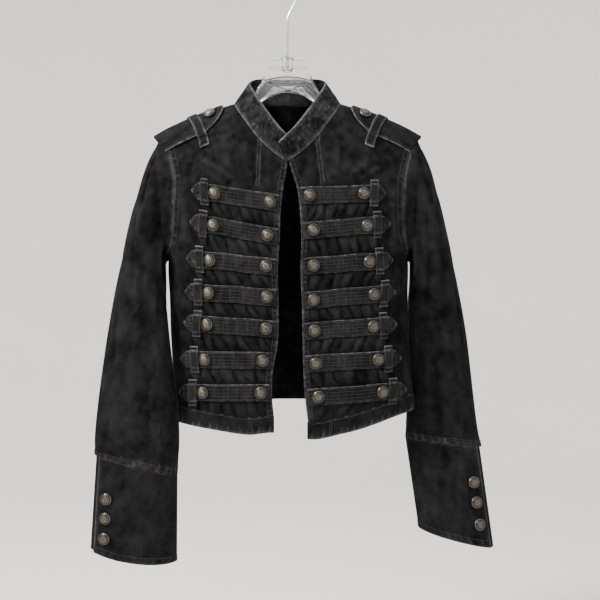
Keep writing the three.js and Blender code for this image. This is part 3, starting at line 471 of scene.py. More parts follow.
def folds_at(folds, x, z):
    """Height of a table of folds: a bell across each, fading out at its two ends."""
    high = np.zeros(np.broadcast(x, z).shape)
    for x0, z0, x1, z1, top, wide in folds:
        run = math.hypot(x1 - x0, z1 - z0)
        dx, dz = (x1 - x0) / run, (z1 - z0) / run
        along = (x - x0) * dx + (z - z0) * dz
        across = (x - x0) * dz - (z - z0) * dx
        inside = np.clip(along / wide, 0, 1) * np.clip((run - along) / wide, 0, 1)
        high += top * smooth(inside) * bell(across, wide)
    return high


def grid_normals(points, around=False):
    """Outward direction of a grid seen from outside: the way down crossed with the way right."""
    padded = np.concatenate([points[:1], points, points[-1:]])
    down = padded[2:] - padded[:-2]
    if around:
        right = np.roll(points, -1, 1) - np.roll(points, 1, 1)
    else:
        padded = np.concatenate([points[:, :1], points, points[:, -1:]], 1)
        right = padded[:, 2:] - padded[:, :-2]
    return unit(np.cross(down, right))


def cloth(name, points, normals, thick, fade_and_shade=0.0, wear=0.0, around=False, side=None, turned=False,
          inside=-0.25):
    """A closed wall of cloth with rounded edges. The grid of outer points goes down its rows and right
    along its columns as seen from outside. The inner layer lies one thickness in, and a row half-way
    through stands a little out of each edge. side="left" mirrors the grid, and turned reverses it.
    fade_and_shade and wear go to the material by point: fade_and_shade is the wash's fade together with
    painted highlight on the crowns of folds and painted shade in their troughs. inside is the
    fade_and_shade of the inner layer, and its default of -0.25 is painted shade on the inside of the garment."""
    shape = points.shape[:2]
    fade_and_shade = np.broadcast_to(fade_and_shade, shape)
    wear = np.broadcast_to(wear, shape)
    if side == "left":
        points, normals = points * (-1, 1, 1), normals * (-1, 1, 1)
    if side == "left" or turned:
        points, normals, fade_and_shade, wear = points[:, ::-1], normals[:, ::-1], fade_and_shade[:, ::-1], wear[:, ::-1]
    down, across = shape
    inner = points - normals * thick
    index = np.arange(down * across).reshape(shape)
    j_next = (np.arange(across) + 1) % across if around else np.arange(1, across)
    j_here = np.arange(len(j_next))
    a, b = index[:-1][:, j_here], index[1:][:, j_here]
    c, d = index[1:][:, j_next], index[:-1][:, j_next]
    outer_faces = np.stack([a, b, c, d], -1).reshape(-1, 4)
    inner_faces = outer_faces[:, ::-1] + down * across
    middle_row = np.concatenate([points[down // 2], points[down // 2][:1]])
    u = lengths(middle_row)
    v = -lengths(points[:, across // 2])
    u_here, u_next = u[:-1][j_here], u[1:][j_here]
    spans = ((v[:-1], u_here), (v[1:], u_here), (v[1:], u_next), (v[:-1], u_next))
    corner = np.stack([np.stack(np.meshgrid(*span, indexing="ij")[::-1], -1) for span in spans], -2)
    corner = corner.reshape(-1, 4, 2)
    faces, uvs = [outer_faces, inner_faces], [corner, corner[:, ::-1]]
    if around:
        borders = [index[0], index[-1][::-1]]
    else:
        borders = [np.concatenate([index[0], index[1:, -1], index[-1, -2::-1], index[-2:0:-1, 0]])]
    middles, start = [], 2 * down * across
    flat_points, flat_inner = points.reshape(-1, 3), inner.reshape(-1, 3)
    uv_of = np.stack(np.meshgrid(v, u[:across], indexing="ij")[::-1], -1).reshape(-1, 2)
    edge_wear = []
    for loop in borders:
        i, j = loop // across, loop % across
        inward_i = np.clip(i, 1, down - 2)
        inward_j = j if around else np.clip(j, 1, across - 2)
        out = unit(flat_points[loop] - points[inward_i, inward_j])
        middles.append((flat_points[loop] + flat_inner[loop]) / 2 + out * thick * EDGE_ROUND)
        edge_wear.append(wear.ravel()[loop])
        here = np.arange(len(loop))
        there = (here + 1) % len(loop)
        mids = start + here, start + there
        faces.append(np.stack([loop[here], loop[there], mids[1], mids[0]], 1))
        faces.append(np.stack([mids[0], mids[1], loop[there] + down * across, loop[here] + down * across], 1))
        edge_uv = uv_of[loop]
        strip_uv = np.stack([edge_uv[here], edge_uv[there], edge_uv[there], edge_uv[here]], 1)
        uvs += [strip_uv, strip_uv]
        start += len(loop)
    everything = np.concatenate([flat_points, flat_inner, *middles])
    values = {
        "fade_and_shade": np.concatenate([fade_and_shade.ravel(), fade_and_shade.ravel() * 0 + inside, *[0 * w for w in edge_wear]]),
        "wear": np.concatenate([wear.ravel(), 0 * wear.ravel(), *edge_wear]),
    }
    return put_mesh(name, everything, np.concatenate(faces), np.concatenate(uvs) * MM, values)


def node_group(name, inputs, outputs):
    """A shader group with named sockets: the tree, its input node's sockets and its output node."""
    made = bpy.data.node_groups.new(name, "ShaderNodeTree")
    kinds = {float: "NodeSocketFloat", tuple: "NodeSocketVector", list: "NodeSocketColor"}
    for label, value in inputs.items():
        socket = made.interface.new_socket(label, in_out="INPUT", socket_type=kinds[type(value)])
        socket.default_value = value
    for label, kind in outputs.items():
        made.interface.new_socket(label, in_out="OUTPUT", socket_type=kinds[kind])
    return made, made.nodes.new("NodeGroupInput").outputs, made.nodes.new("NodeGroupOutput").inputs


def blend(tree, a, b, factor):
    """A colour the factor of the way from a to b."""
    return node(tree, "Mix", {0: factor, 6: a, 7: b}, data_type="RGBA", clamp_factor=True).outputs[2]


def weighed(tree, *terms):
    """The sum of some values, each times its own weight."""
    parts = [maths(tree, "MULTIPLY", value, weight) for value, weight in terms]
    total = parts[0]
    for part in parts[1:]:
        total = maths(tree, "ADD", total, part)
    return total


def stretched(tree, place, across, along):
    """A place whose pattern repeats so many times a metre across and along the cloth."""
    return node(tree, "VectorMath", {0: place, 1: (across, along, along)}, operation="MULTIPLY").outputs[0]


denim_group, given, out = node_group(
    "washed denim",
    {
        "Weave": (0.0, 0.0, 0.0), "Place": (0.0, 0.0, 0.0), "Fade": 0.0, "Wear": 0.0, "Mottle": 0.5,
        "Dark": [0.01, 0.01, 0.01, 1], "Pale": [0.05, 0.05, 0.05, 1], "Worn": [0.3, 0.3, 0.3, 1],
    },
    {"Colour": list, "Roughness": float, "Height": float},
)
tree = denim_group
slub = noise(tree, stretched(tree, given["Weave"], 900, 70), 1.0, 2)
weft = noise(tree, stretched(tree, given["Weave"], 160, 1100), 1.0, 2)
grain = noise(tree, given["Place"], 420.0, 2)
cloud = noise(tree, given["Place"], 24.0, 4, 0.6)
patch = noise(tree, given["Place"], 95.0, 4, 0.62)
twill = node(
    tree, "TexWave",
    {
        "Vector": stretched(tree, given["Weave"], 1, 1.6),
        "Scale": 420.0, "Distortion": 1.6, "Detail": 2.0, "Detail Scale": 3.0,
    },
    wave_type="BANDS", bands_direction="DIAGONAL",
).outputs["Fac"]
mottling = maths(tree, "ADD", maths(tree, "SUBTRACT", cloud, 0.5), maths(tree, "SUBTRACT", patch, 0.5))
mottling = maths(tree, "MULTIPLY", mottling, given["Mottle"])
yarns = weighed(tree, (slub, 0.42), (weft, 0.2), (twill, 0.12))
# Fade lifts or lowers the tone: the wash's fade, with painted highlight and painted shade that follow the
# folds.
tone = maths(tree, "ADD", maths(tree, "ADD", mottling, given["Fade"]), yarns)
tone = maths(tree, "ADD", tone, -0.08, True)
rubbed = maths(tree, "MULTIPLY", given["Wear"], maths(tree, "ADD", maths(tree, "MULTIPLY", grain, 1.5), -0.1))
broken = maths(tree, "ADD", maths(tree, "MULTIPLY", patch, 2.6), -0.5)
rubbed = maths(tree, "MULTIPLY", rubbed, broken, True)
unworn = blend(tree, given["Dark"], given["Pale"], tone)
tree.links.new(blend(tree, unworn, given["Worn"], rubbed), out["Colour"])
tree.links.new(maths(tree, "ADD", maths(tree, "MULTIPLY", grain, -0.12), 0.92), out["Roughness"])
tree.links.new(weighed(tree, (twill, 0.5), (slub, 0.7), (weft, 0.5)), out["Height"])
BLUE_HINT = 1.04  # blue over red in the greys of the cloth


def denim(name, dark, pale, worn, mottle):
    """Denim whose colours run from dark through pale to worn, as three greys with a hint of blue."""
    made, tree, shader = material(name, Roughness=0.9, Specular_IOR_Level=0.06)
    texture = node(tree, "TexCoord").outputs
    used = node(tree, "Group", node_tree=denim_group)
    links = {
        "Weave": node(tree, "UVMap", uv_map="cloth").outputs[0],
        "Place": texture["Object"],
        "Fade": node(tree, "Attribute", attribute_name="fade_and_shade").outputs["Fac"],
        "Wear": node(tree, "Attribute", attribute_name="wear").outputs["Fac"],
    }
    for key, socket in links.items():
        tree.links.new(socket, used.inputs[key])
    used.inputs["Mottle"].default_value = mottle
    for key, grey in (("Dark", dark), ("Pale", pale), ("Worn", worn)):
        used.inputs[key].default_value = (grey, grey, grey * BLUE_HINT, 1)
    tree.links.new(used.outputs["Colour"], shader.inputs["Base Color"])
    tree.links.new(used.outputs["Roughness"], shader.inputs["Roughness"])
    embossed(tree, shader, used.outputs["Height"], 0.0005, 0.9)
    return made


panel_denim = denim("panel denim", 0.0014, 0.02, 0.13, 1.2)
trim_denim = denim("trim denim", 0.0014, 0.02, 0.19, 1.1)
collar_denim = denim("collar denim", 0.0016, 0.027, 0.2, 1.8)

STITCH = {"long": 2.5, "gap": 0.9, "wide": 0.75, "high": 0.5}
THREAD = (0.008, 0.008, 0.009, 1), (0.06, 0.06, 0.059, 1)  # its darkest and its palest colour
thread, tree, shader = material("charcoal thread", Roughness=0.6, Specular_IOR_Level=0.12)
place = node(tree, "TexCoord").outputs["Object"]
strand = noise(tree, place, 700.0, 2)
tree.links.new(blend(tree, *THREAD, strand), shader.inputs["Base Color"])


def on_grid(grid, i, j):
    """Points of a grid at places between its rows and columns."""
    i, j = np.broadcast_arrays(np.asarray(i, float), np.asarray(j, float))
    i0 = np.clip(np.floor(i).astype(int), 0, grid.shape[0] - 2)
    j0 = np.clip(np.floor(j).astype(int), 0, grid.shape[1] - 2)
    ti, tj = (i - i0)[..., None], (j - j0)[..., None]
    upper = mix(grid[i0, j0], grid[i0, j0 + 1], tj)
    lower = mix(grid[i0 + 1, j0], grid[i0 + 1, j0 + 1], tj)
    return mix(upper, lower, ti)


def stitches(line, normal, side=None):
    """Stitches along a line of points: each a small lozenge with a flat foot, raised in its middle."""
    if side == "left":
        line, normal = line * (-1, 1, 1), normal * (-1, 1, 1)
    length = lengths(line)
    pitch = STITCH["long"] + STITCH["gap"]
    count = int(length[-1] // pitch)
    if count < 1:
        return np.zeros((0, 3)), np.zeros((0, 4), int)
    middle = (np.arange(count) + 0.5) * length[-1] / count

    def at(places, values):
        """Values between the line's points, by how far along it they lie."""
        return np.stack([np.interp(places, length, values[:, k]) for k in range(3)], 1)

    start, end = at(middle - STITCH["long"] / 2, line), at(middle + STITCH["long"] / 2, line)
    up = unit(at(middle, normal))
    ahead = unit(end - start)
    across = unit(np.cross(up, ahead)) * STITCH["wide"] / 2
    rings = []
    for share, size in ((0, 0.35), (0.3, 1), (0.7, 1), (1, 0.35)):
        centre = mix(start, end, share)
        rings.append(np.stack([
            centre - across * size,
            centre + up * STITCH["high"] * size,
            centre + across * size,
            centre - up * 0.2,
        ], 1))
    points = np.stack(rings, 1).reshape(count, 16, 3)
    ring = np.arange(4)
    beside = (ring + 1) % 4
    faces = [np.stack([k + ring, k + beside, k + 4 + beside, k + 4 + ring], 1) for k in (0, 4, 8)]
    faces = np.concatenate([*faces, [[3, 2, 1, 0], [12, 13, 14, 15]]])
    faces = (faces[None, :, ::-1] + 16 * np.arange(count)[:, None, None]).reshape(-1, 4)
    return points.reshape(-1, 3), faces


def sew_row(points, normals, rows, columns, side=None):
    """Stitches along a line over a piece's grid, by its places between the rows and columns."""
    return stitches(on_grid(points, rows, columns), on_grid(normals, rows, columns), side)


def sewn(name, pieces):
    """All the stitches of one piece as one mesh."""
    made = put_mesh(name, *joined([piece for piece in pieces if len(piece[0])]))
    made.data.materials.append(thread)
    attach(made, "root")
    return made


def finish_cloth(made, finish, slot, *nodes):
    """Gives a piece of cloth its denim and its body, and hides the imported parts that it stands for. slot is
    not used.
    """
    made.data.materials.append(finish)
    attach(made, "root")
    if nodes:
        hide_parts(*nodes)
    return made


def ripple(along, pitch, seed):
    """Uneven puckers along a seam, from -1 to 1: three waves whose pitches don't agree."""
    turn = 2 * np.pi * along / pitch
    waves = ((0.5, 1, 1), (0.3, 1.7, 2.1), (0.2, 0.61, 3.3))
    return sum(high * np.sin(fast * turn + far * seed) for high, fast, far in waves)


def over_shoulder(x, roll, out=0.0):
    """A point over the shoulder's ridge by its x and its turn, moved out along the outward direction."""
    def at(u, turn):
        """The body's surface at a turn over the ridge, in front of it where the turn is above 0."""
        z = ridge(u) - SHOULDER_FALL * (1 - np.cos(np.radians(turn)))
        front = -(torso("front", u, z) + SEAM)
        back = torso("back", u, z) + SEAM
        return np.stack(np.broadcast_arrays(u, np.where(turn > 0, front, back), z), -1)

    x, roll = np.broadcast_arrays(np.asarray(x, float), np.asarray(roll, float))
    normal = unit(np.cross(at(x, roll + 2) - at(x, roll - 2), at(x + 2, roll) - at(x - 2, roll)))
    return at(x, roll) + normal * np.asarray(out)[..., None], normal


def fine_shares(count):
    """Even shares of a width, closer together at both ends."""
    t = np.linspace(0, 1, count)
    return mix(t, smooth(t), 0.35)


def back_half(side):
    """Top x of the back's columns on one side, from the middle to the shoulder's tip."""
    tip = body[side + "_seam"](SHOULDER_TIP_Z) - SEAM
    neck = np.linspace(0, NECK_X, 26)
    beyond = NECK_X + (tip - NECK_X) * np.sin(np.linspace(0, 1, 34) * np.pi / 2) ** 0.85
    return np.concatenate([neck, beyond[1:]]), tip


back_columns = []
for side in ("right", "left"):
    x, tip = back_half(side)
    foot_x = x / tip * body[side + "_seam"](SIDE_HEM[side] + HEM_BAND)
    rows = np.stack([SIGN[side] * x, x / tip, SIGN[side] * foot_x, 0 * x + SIGN[side]], 1)
    back_columns.append(rows[::-1] if side == "right" else rows[1:])
top_x, share, foot_x, sign = np.concatenate(back_columns).T
in_neck = np.abs(top_x) < NECK_X - 0.5
back_top = np.where(in_neck, back_neck(np.abs(top_x)), ridge(top_x))
foot_z = hem["back"](foot_x) + HEM_BAND
points, normals = [], []
BACK_ROLLS = np.concatenate([[SEAM_ROLL - 0.7], np.linspace(15, -16, 22)])
for k, roll in enumerate(BACK_ROLLS):
    close = 0.3 * (1 - k / len(BACK_ROLLS))
    over, over_normal = over_shoulder(top_x, np.full_like(top_x, roll))
    z = back_top + close
    flat = np.stack([top_x, torso("back", top_x, z) + SEAM + folds_at(FOLDS["back"], top_x, z), z], 1)
    points.append(np.where(in_neck[:, None], flat, over))
    normals.append(np.where(in_neck[:, None], torso_normal("back", top_x, z), over_normal))
drop = SHOULDER_FALL * (1 - math.cos(math.radians(BACK_ROLLS[-1])))
for t in np.linspace(0, 1, 126)[1:] ** 1.08:
    z = mix(back_top - np.where(in_neck, 0, drop), foot_z + SEAM, t)
    seam = np.where(sign < 0, body["left_seam"](z), body["right_seam"](z))
    x = sign * share * (seam - np.where(z > UNDERARM_Z, SEAM, 0)) if t < 1 else foot_x
    relief = folds_at(FOLDS["back"] + BACK_CREASES, x, z) * inside_sides(x, z)
    felled = 0.5 * (smooth((5.5 - np.abs(x)) / 1.5) + 0.25 * ripple(z, 7, 1.0) * (np.abs(x) < 6))
    y = torso("back", x, z) + SEAM + relief + felled
    points.append(np.stack([x, y, z], 1))
    normals.append(torso_normal("back", x, z))
back_points, back_normals = np.array(points), np.array(normals)
across_mm = np.abs(back_points[..., 0])
back_wear = 0.45 * bell(across_mm - 5.5, 1.0) * (0.5 + 0.5 * ripple(back_points[..., 2], 7, 2.0))
# Partly the wash's fade, partly painted highlight on the back's fold ridges and painted shade in its troughs,
# in step with their height.
back_fade_and_shade = 0.06 * folds_at(FOLDS["back"] + BACK_CREASES, back_points[..., 0], back_points[..., 2])
back = cloth("back_panel", back_points, back_normals, CLOTH, back_fade_and_shade, back_wear)
finish_cloth(back, panel_denim, "denim", "back")

middle = np.argmin(np.abs(top_x))
rows = np.arange(24, len(back_points) - 1)
sewing = []
for offset in (-1.6, 1.6):
    x_gap = back_points[rows[0], middle + 1, 0] - back_points[rows[0], middle, 0]
    columns = middle + offset / abs(x_gap)
    sewing.append(sew_row(back_points, back_normals, rows, columns))
for row in (1, 2.6):
    for span in (np.arange(0, 33), np.arange(len(top_x) - 33, len(top_x))):
        sewing.append(sew_row(back_points, back_normals, row, span))
sewn("back_stitches", sewing)

# Fronts
# Two panels of the same twill. Between the straps the cloth is drawn up into small diagonal puckers,
# which the wash has rubbed grey on their crowns; the crowns and the creases also carry painted highlight,
# and the troughs painted shade. Each front edge is turned and topstitched twice, and a dart runs down
# from the collar.
STRAP_WIDE = 24
STRAP_PITCH = 48  # from one strap to the next
BILLOW = 2.4
CREASE_HIGH = 1.3  # over the heights in the table of the fronts' creases
STRAPS = {
    "left": table("in_x in_z out_x out_z tip_x", [
        (-25, -355, -108, -342, -143), (-29, -405, -110, -390, -145), (-31, -451, -115, -442, -151),
        (-30, -497, -117, -491, -153), (-31, -544, -119, -538, -155), (-36, -592, -123, -591, -161),
        (-39, -640, -126, -641, -163),
    ]),
    "right": table("in_x in_z out_x out_z tip_x", [
        (34, -345, 115, -342, 148), (40, -397, 120, -390, 155), (40, -450, 123, -444, 159),
        (40, -501, 130, -493, 163), (41, -547, 129, -541, 165), (43, -596, 136, -591, 172),
        (47, -646, 143, -640, 180),
    ]),
}
FRONT_EDGE = table("z left right", [
    (-293, 0.5, 3), (-313, -2, 9), (-335, -6, 16), (-370, -10, 20), (-405, -11, 22), (-460, -14, 21),
    (-510, -13, 23), (-565, -14, 24), (-605, -21, 25), (-642, -23, 27), (-678, -20, 31), (-712, -20, 37),
])
# The troughs between puckers, for each gap from the top: how far they lean towards the middle over the
# gap's height, and where they stand across the front, in millimetres from the middle of the jacket.
PUCKERS = {
    "left": [
        (13, [-128, -112, -97, -85, -68, -51, -38, -26]),
        (12, [-132, -117, -104, -90, -72, -56, -43, -24]),
        (14, [-138, -122, -105, -90, -70, -54, -36, -24]),
        (11, [-140, -126, -108, -91, -77, -58, -44, -28]),
        (13, [-142, -124, -110, -93, -74, -60, -42, -30]),
        (10, [-146, -130, -112, -97, -78, -62, -46, -32]),
        (8, [-150, -134, -118, -98, -80, -60, -44, -34]),
    ],
    "right": [
        (-9, [32, 44, 57, 74, 88, 106, 120, 134]),
        (7, [34, 48, 61, 79, 95, 108, 124, 138]),
        (-12, [32, 50, 68, 81, 98, 116, 128, 144]),
        (9, [36, 49, 64, 82, 96, 112, 130, 148]),
        (-10, [34, 52, 66, 80, 101, 115, 133, 150]),
        (8, [38, 54, 72, 86, 104, 121, 138, 156]),
        (-7, [42, 58, 76, 94, 110, 130, 148, 164]),
    ],
}
PUCKER = {"crown": 2.3, "trough": 2.6, "sharp": 2.3}
FRONT_CREASES = {
    "left": [
        (-140, -296, -100, -326, 1.8, 3.6), (-126, -292, -76, -322, 1.6, 3.4),
        (-136, -308, -112, -328, 1.5, 3),
        (-100, -250, -84, -306, 1.0, 7), (-62, -262, -58, -320, 1.0, 6), (-30, -290, -26, -338, 1.2, 5),
        (-160, -330, -150, -420, 1.4, 6), (-150, -380, -168, -430, 1.2, 6), (-120, -225, -112, -284, 0.9, 8),
    ],
    "right": [
        (142, -300, 104, -326, 1.5, 4), (124, -290, 92, -318, 1.2, 4), (100, -250, 88, -312, 1.0, 7),
        (36, -288, 30, -334, 1.1, 5), (76, -258, 74, -318, 0.9, 7), (164, -330, 158, -430, 1.4, 6),
        (158, -372, 174, -428, 1.2, 6), (128, -228, 120, -282, 0.9, 8), (66, -330, 62, -312, 1.4, 3),
    ],
}
DARTS = {"left": (-42, -266, -44, -330), "right": (46, -262, 54, -330)}
TOPSTITCH_EDGE = (2.4, 8.0)  # rows of stitching, from a panel's edge
TOPSTITCH_ARMHOLE = (2.2, 8.6)
front_edge = {side: curve(FRONT_EDGE, "z", side) for side in ("left", "right")}
shoulder_drop = SHOULDER_FALL * (1 - math.cos(math.radians(SEAM_ROLL)))
strap_count = 7


def strap_z(side, row, x):
    """Height of a strap's middle line at x."""
    strap = {key: value[row] for key, value in STRAPS[side].items()}
    return mix(strap["in_z"], strap["out_z"], (x - strap["in_x"]) / (strap["out_x"] - strap["in_x"]))


def gap_at(side, x, z):
    """Which gap between straps a point lies in, from 1, and how far down it, from 0 to 1."""
    lines = np.array([strap_z(side, row, x) for row in range(strap_count)])
    gap = (lines >= z).sum(0)
    padded = np.concatenate([lines, lines[-1:] - STRAP_PITCH])
    above = np.take_along_axis(padded, np.maximum(gap - 1, 0)[None], 0)[0]
    below = np.take_along_axis(padded, np.clip(gap, 1, strap_count)[None], 0)[0]
    inside = (above - STRAP_WIDE / 2 - z) / (above - below - STRAP_WIDE)
    return gap, np.clip(inside, 0, 1)


def billow_at(side, x, z):
    """The swell between two straps: half a sine wave."""
    gap, inside = gap_at(side, x, z)
    return np.where((gap > 0) & (gap < strap_count), BILLOW * np.sin(np.pi * inside), 0)


def front_skin(side, x, z, out=0.0):
    """A point of the front as its solid has it, moved out along the outward direction."""
    relief = billow_at(side, x, z) + folds_at(FOLDS[side], x, z)
    y = torso("front", x, z) + SEAM + relief * inside_sides(x, z)
    normal = torso_normal("front", x, z)
    return np.stack([x, -y, z], -1) + normal * np.asarray(out)[..., None], normal


def puckers_at(side, x, z):
    """Height of the puckers, and how rubbed they are with painted highlight on their crowns and painted
    shade in their troughs: a low arch between each two troughs, which lean across the gap, held down at
    the straps above and below."""
    gap, inside = gap_at(side, x, z)
    high, rub_and_shade = np.zeros(x.shape), np.zeros(x.shape)
    for row, (lean, troughs) in enumerate(PUCKERS[side], 1):
        wobble = 6 * np.sin(0.17 * x + 1.7 * row) + 2 * np.sin(5 * inside + 0.2 * x)
        s = x + wobble * (inside - 0.5) - lean * (inside - 0.5)
        k = np.clip(np.searchsorted(troughs, s), 1, len(troughs) - 1)
        left, right = np.array(troughs)[k - 1], np.array(troughs)[k]
        share = np.clip((s - left) / (right - left), 0, 1)
        arch = 1 - (2 * share - 1) ** 2
        size = 0.62 + 0.38 * np.sin(2.3 * k + 1.9 * row)
        nearer = np.where(s - left < right - s, k - 1, k)
        depth = 0.68 + 0.32 * np.sin(2.9 * nearer + 2.3 * row + 2.2 * inside)
        near = np.minimum(np.abs(s - left), np.abs(s - right))
        ends = smooth((s - troughs[0]) / 8 + 1) * smooth((troughs[-1] - s) / 8 + 1)
        envelope = np.sin(np.pi * inside) ** 0.75 * ends * (gap == row)
        if row == strap_count:
            envelope = envelope * 0.55 * (inside < 1)
        crumple = 0.55 * ripple(s + 1.3 * z, 10, 1.0 + row) + 0.4 * ripple(s - 2.1 * z, 7.5, 2.0 * row)
        sunk = depth * bell(near, PUCKER["sharp"])
        high += envelope * (crumple + PUCKER["crown"] * size * arch**0.7 - PUCKER["trough"] * sunk)
        # The wash's rubbing on the crowns plus painted highlight there, and painted shade in the troughs (the
        # -0.5 * sunk term).
        rub_and_shade += envelope * (0.7 * arch * size + 0.35 * crumple - 0.5 * sunk)
    return high, rub_and_shade


def front_panel(side):
    """A front's grid: rows follow the straps' edges, and columns run from the front edge, share 0, to
    the armhole and side seam, share 1. Returns points, normals, fade_and_shade and wear, and how far each
    point is from the front edge and from the side, in millimetres. fade_and_shade holds painted highlight
    on the pucker crowns and creases and painted shade in the pucker troughs."""
    sign = SIGN[side]
    seam = body[side + "_seam"]
    edge_top = float(front_edge[side](front_neck(0)))
    tip = sign * float(seam(SHOULDER_TIP_Z) - SEAM)
    edge_foot = float(front_edge[side](hem["front"](0) + HEM_BAND))
    side_foot = sign * float(seam(SIDE_HEM[side] + HEM_BAND))
    neck_share = (sign * NECK_X - edge_top) / (tip - edge_top)
    start = np.array([0, 0.006, 0.014, 0.024])
    share = np.concatenate([
        start, np.linspace(0.036, neck_share, 36), np.linspace(neck_share, 1, 46)[1:-3], [0.975, 0.988, 1],
    ])
    top_x, foot_x = mix(edge_top, tip, share), mix(edge_foot, side_foot, share)
    neck = np.abs(top_x) < NECK_X - 0.5
    top_z = np.where(neck, front_neck(np.abs(top_x)), ridge(top_x) - shoulder_drop - SEAM)
    foot_z = hem["front"](foot_x) + HEM_BAND
    above = np.linspace(0, 1, 62)[:-1] ** 1.1
    guides = [(0, t) for t in above]
    for row in range(strap_count):
        guides += [(2 * row + 1, t) for t in np.linspace(0, 1, 7)[:-1]]
        if row < strap_count - 1:
            guides += [(2 * row + 2, t) for t in np.linspace(0, 1, 15)[:-1]]
    guides += [(2 * strap_count, t) for t in np.linspace(0, 1, 13)]
    half = STRAP_WIDE / 2 + 1

    def line(number, x):
        """Height of a guide at x: the top, then the two edges of each strap, then the foot."""
        if number == 0:
            return top_z
        if number == 2 * strap_count + 1:
            return foot_z + SEAM
        row, lower = divmod(number - 1, 2)
        return strap_z(side, row, x) + (-half if lower else half)

    points = []
    for order, (number, t) in enumerate(guides):
        closing = foot_z + SEAM + 0.6 * (len(guides) - 1 - order)
        x = mix(top_x, foot_x, 0.5)
        for _ in range(4):
            z = np.maximum(mix(line(number, x), line(number + 1, x), t), closing)
            x = mix(front_edge[side](z), sign * (seam(z) - np.where(z > UNDERARM_Z, SEAM, 0)), share)
        if order == 0:
            x, z = top_x, top_z
        if order == len(guides) - 1:
            x, z = foot_x, foot_z + SEAM
        points.append(np.stack([x, z], 1))
    x, z = np.moveaxis(np.array(points), -1, 0)
    base, normals = front_skin(side, x, z)
    share = np.broadcast_to(share, x.shape)
    width = np.abs(sign * seam(z) - front_edge[side](z))
    from_edge, from_side = share * width, (1 - share) * width
    gap, _ = gap_at(side, x, z)
    pucker, rub_and_shade = puckers_at(side, x, z)
    calm = smooth((from_edge - 7) / 5) * inside_sides(x, z, 22)
    dart = np.array(DARTS[side], float)
    along = np.clip((z - dart[1]) / (dart[3] - dart[1]), 0, 1)
    from_dart = np.abs(x - mix(dart[0], dart[2], along))
    on_dart = smooth((dart[1] + 30 - z) / 8) * smooth((z - dart[3] + 4) / 6)
    relief = pucker * calm + CREASE_HIGH * folds_at(FRONT_CREASES[side], x, z)
    relief -= 0.9 * bell(from_dart, 1.3) * on_dart
    turned_edge = 0.55 * smooth((9.5 - from_edge) / 1.5) * (1 + 0.35 * ripple(z, 6.5, 0.4 + SIGN[side]))
    on_armhole = smooth((z - UNDERARM_Z + 6) / 10)
    armhole = smooth((10 - from_side) / 1.5) * (0.6 + 0.3 * ripple(z, 9, 1.2)) * on_armhole
    relief += turned_edge + armhole * smooth(from_side / 1.2) * (from_side > 0)
    # Painted highlight on the pucker crowns and on the creases, painted shade in the pucker troughs, with the
    # wash's fade on the crowns; slightly darker in the gaps between straps, and lighter in a band beside the
    # front edge.
    fade_and_shade = 0.5 * rub_and_shade * calm - 0.04 * calm * (gap > 0) + 0.14 * folds_at(FRONT_CREASES[side], x, z) - 0.02
    fade_and_shade = fade_and_shade + 0.10 * smooth((from_edge - 2) / 6) * bell(from_edge - 8, 7)
    worn_edge = bell(from_edge, 1.5) * (0.55 + 0.45 * ripple(z, 11, 2.2 * sign))
    sewn_edge = bell(from_edge - 5, 2) * np.clip(ripple(z, 6.5, 0.4 + sign), 0, 1) * 0.55
    worn_arm = bell(from_side, 1.4) * 0.6 * on_armhole
    sewn_arm = bell(from_side - 5.4, 2) * np.clip(ripple(z, 9, 1.2), 0, 1) * 0.4 * on_armhole
    worn_dart = 0.35 * bell(from_dart - 2.2, 0.9) * on_dart
    wear = worn_edge + sewn_edge + worn_arm + sewn_arm + worn_dart
    outer = base + normals * relief[..., None]
    return outer, normals, fade_and_shade, wear, from_edge, from_side


def columns_at(distance, wanted):
    """For each row, the place between columns where a distance that changes along it is the one wanted."""
    rising = distance[0, -1] > distance[0, 0]
    places = np.arange(distance.shape[1])
    order = slice(None) if rising else slice(None, None, -1)
    return np.array([np.interp(wanted, row[order], places[order]) for row in distance])


fronts = {}
for side in ("left", "right"):
    points, normals, fade_and_shade, wear, from_edge, from_side = front_panel(side)
    fronts[side] = points, normals
    name = "front_panel_" + WEARER[side]
    front = cloth(name, points, normals, CLOTH, fade_and_shade, wear, turned=side == "left")
    finish_cloth(front, panel_denim, "denim", "front_" + WEARER[side])
    rows = np.arange(len(points))
    sewing = []
    for distance in TOPSTITCH_EDGE:
        columns = columns_at(from_edge, distance)
        sewing.append(sew_row(points, normals, rows, columns))
    on_arm = rows[points[:, -1, 2] > UNDERARM_Z + 4]
    for distance in TOPSTITCH_ARMHOLE:
        columns = columns_at(from_side, distance)[on_arm]
        sewing.append(sew_row(points, normals, on_arm, columns))
    x0, z0, x1, z1 = DARTS[side]
    for offset in (-2.2, 2.2):
        z = np.linspace(z0 - 6, z1, 40)
        x = mix(x0, x1, (z - z0) / (z1 - z0)) + offset
        creased = CREASE_HIGH * folds_at(FRONT_CREASES[side], x, z)
        sewing.append(stitches(*front_skin(side, x, z, creased)))
    sewn("front_stitches_" + WEARER[side], sewing)

# Band at the hem
# A folded strip of the same denim, sewn on all round at the foot of the panels and topstitched along
# both edges. Its lower edge ropes as it washes.
HEM_STITCH_ROWS = (2.1, 9.4, 10.6)  # rows of stitching, counted in rows of the band's grid
BAND_SEAMS = (-55, 66)  # where the band is pieced on the fronts


def outer_columns(side):
    """The x of a front's foot, from the front edge outwards."""
    seam = body[side + "_seam"]
    inner = float(front_edge[side](hem["front"](0) + HEM_BAND))
    outer = SIGN[side] * float(seam(SIDE_HEM[side] + HEM_BAND))
    return mix(inner, outer, fine_shares(100))


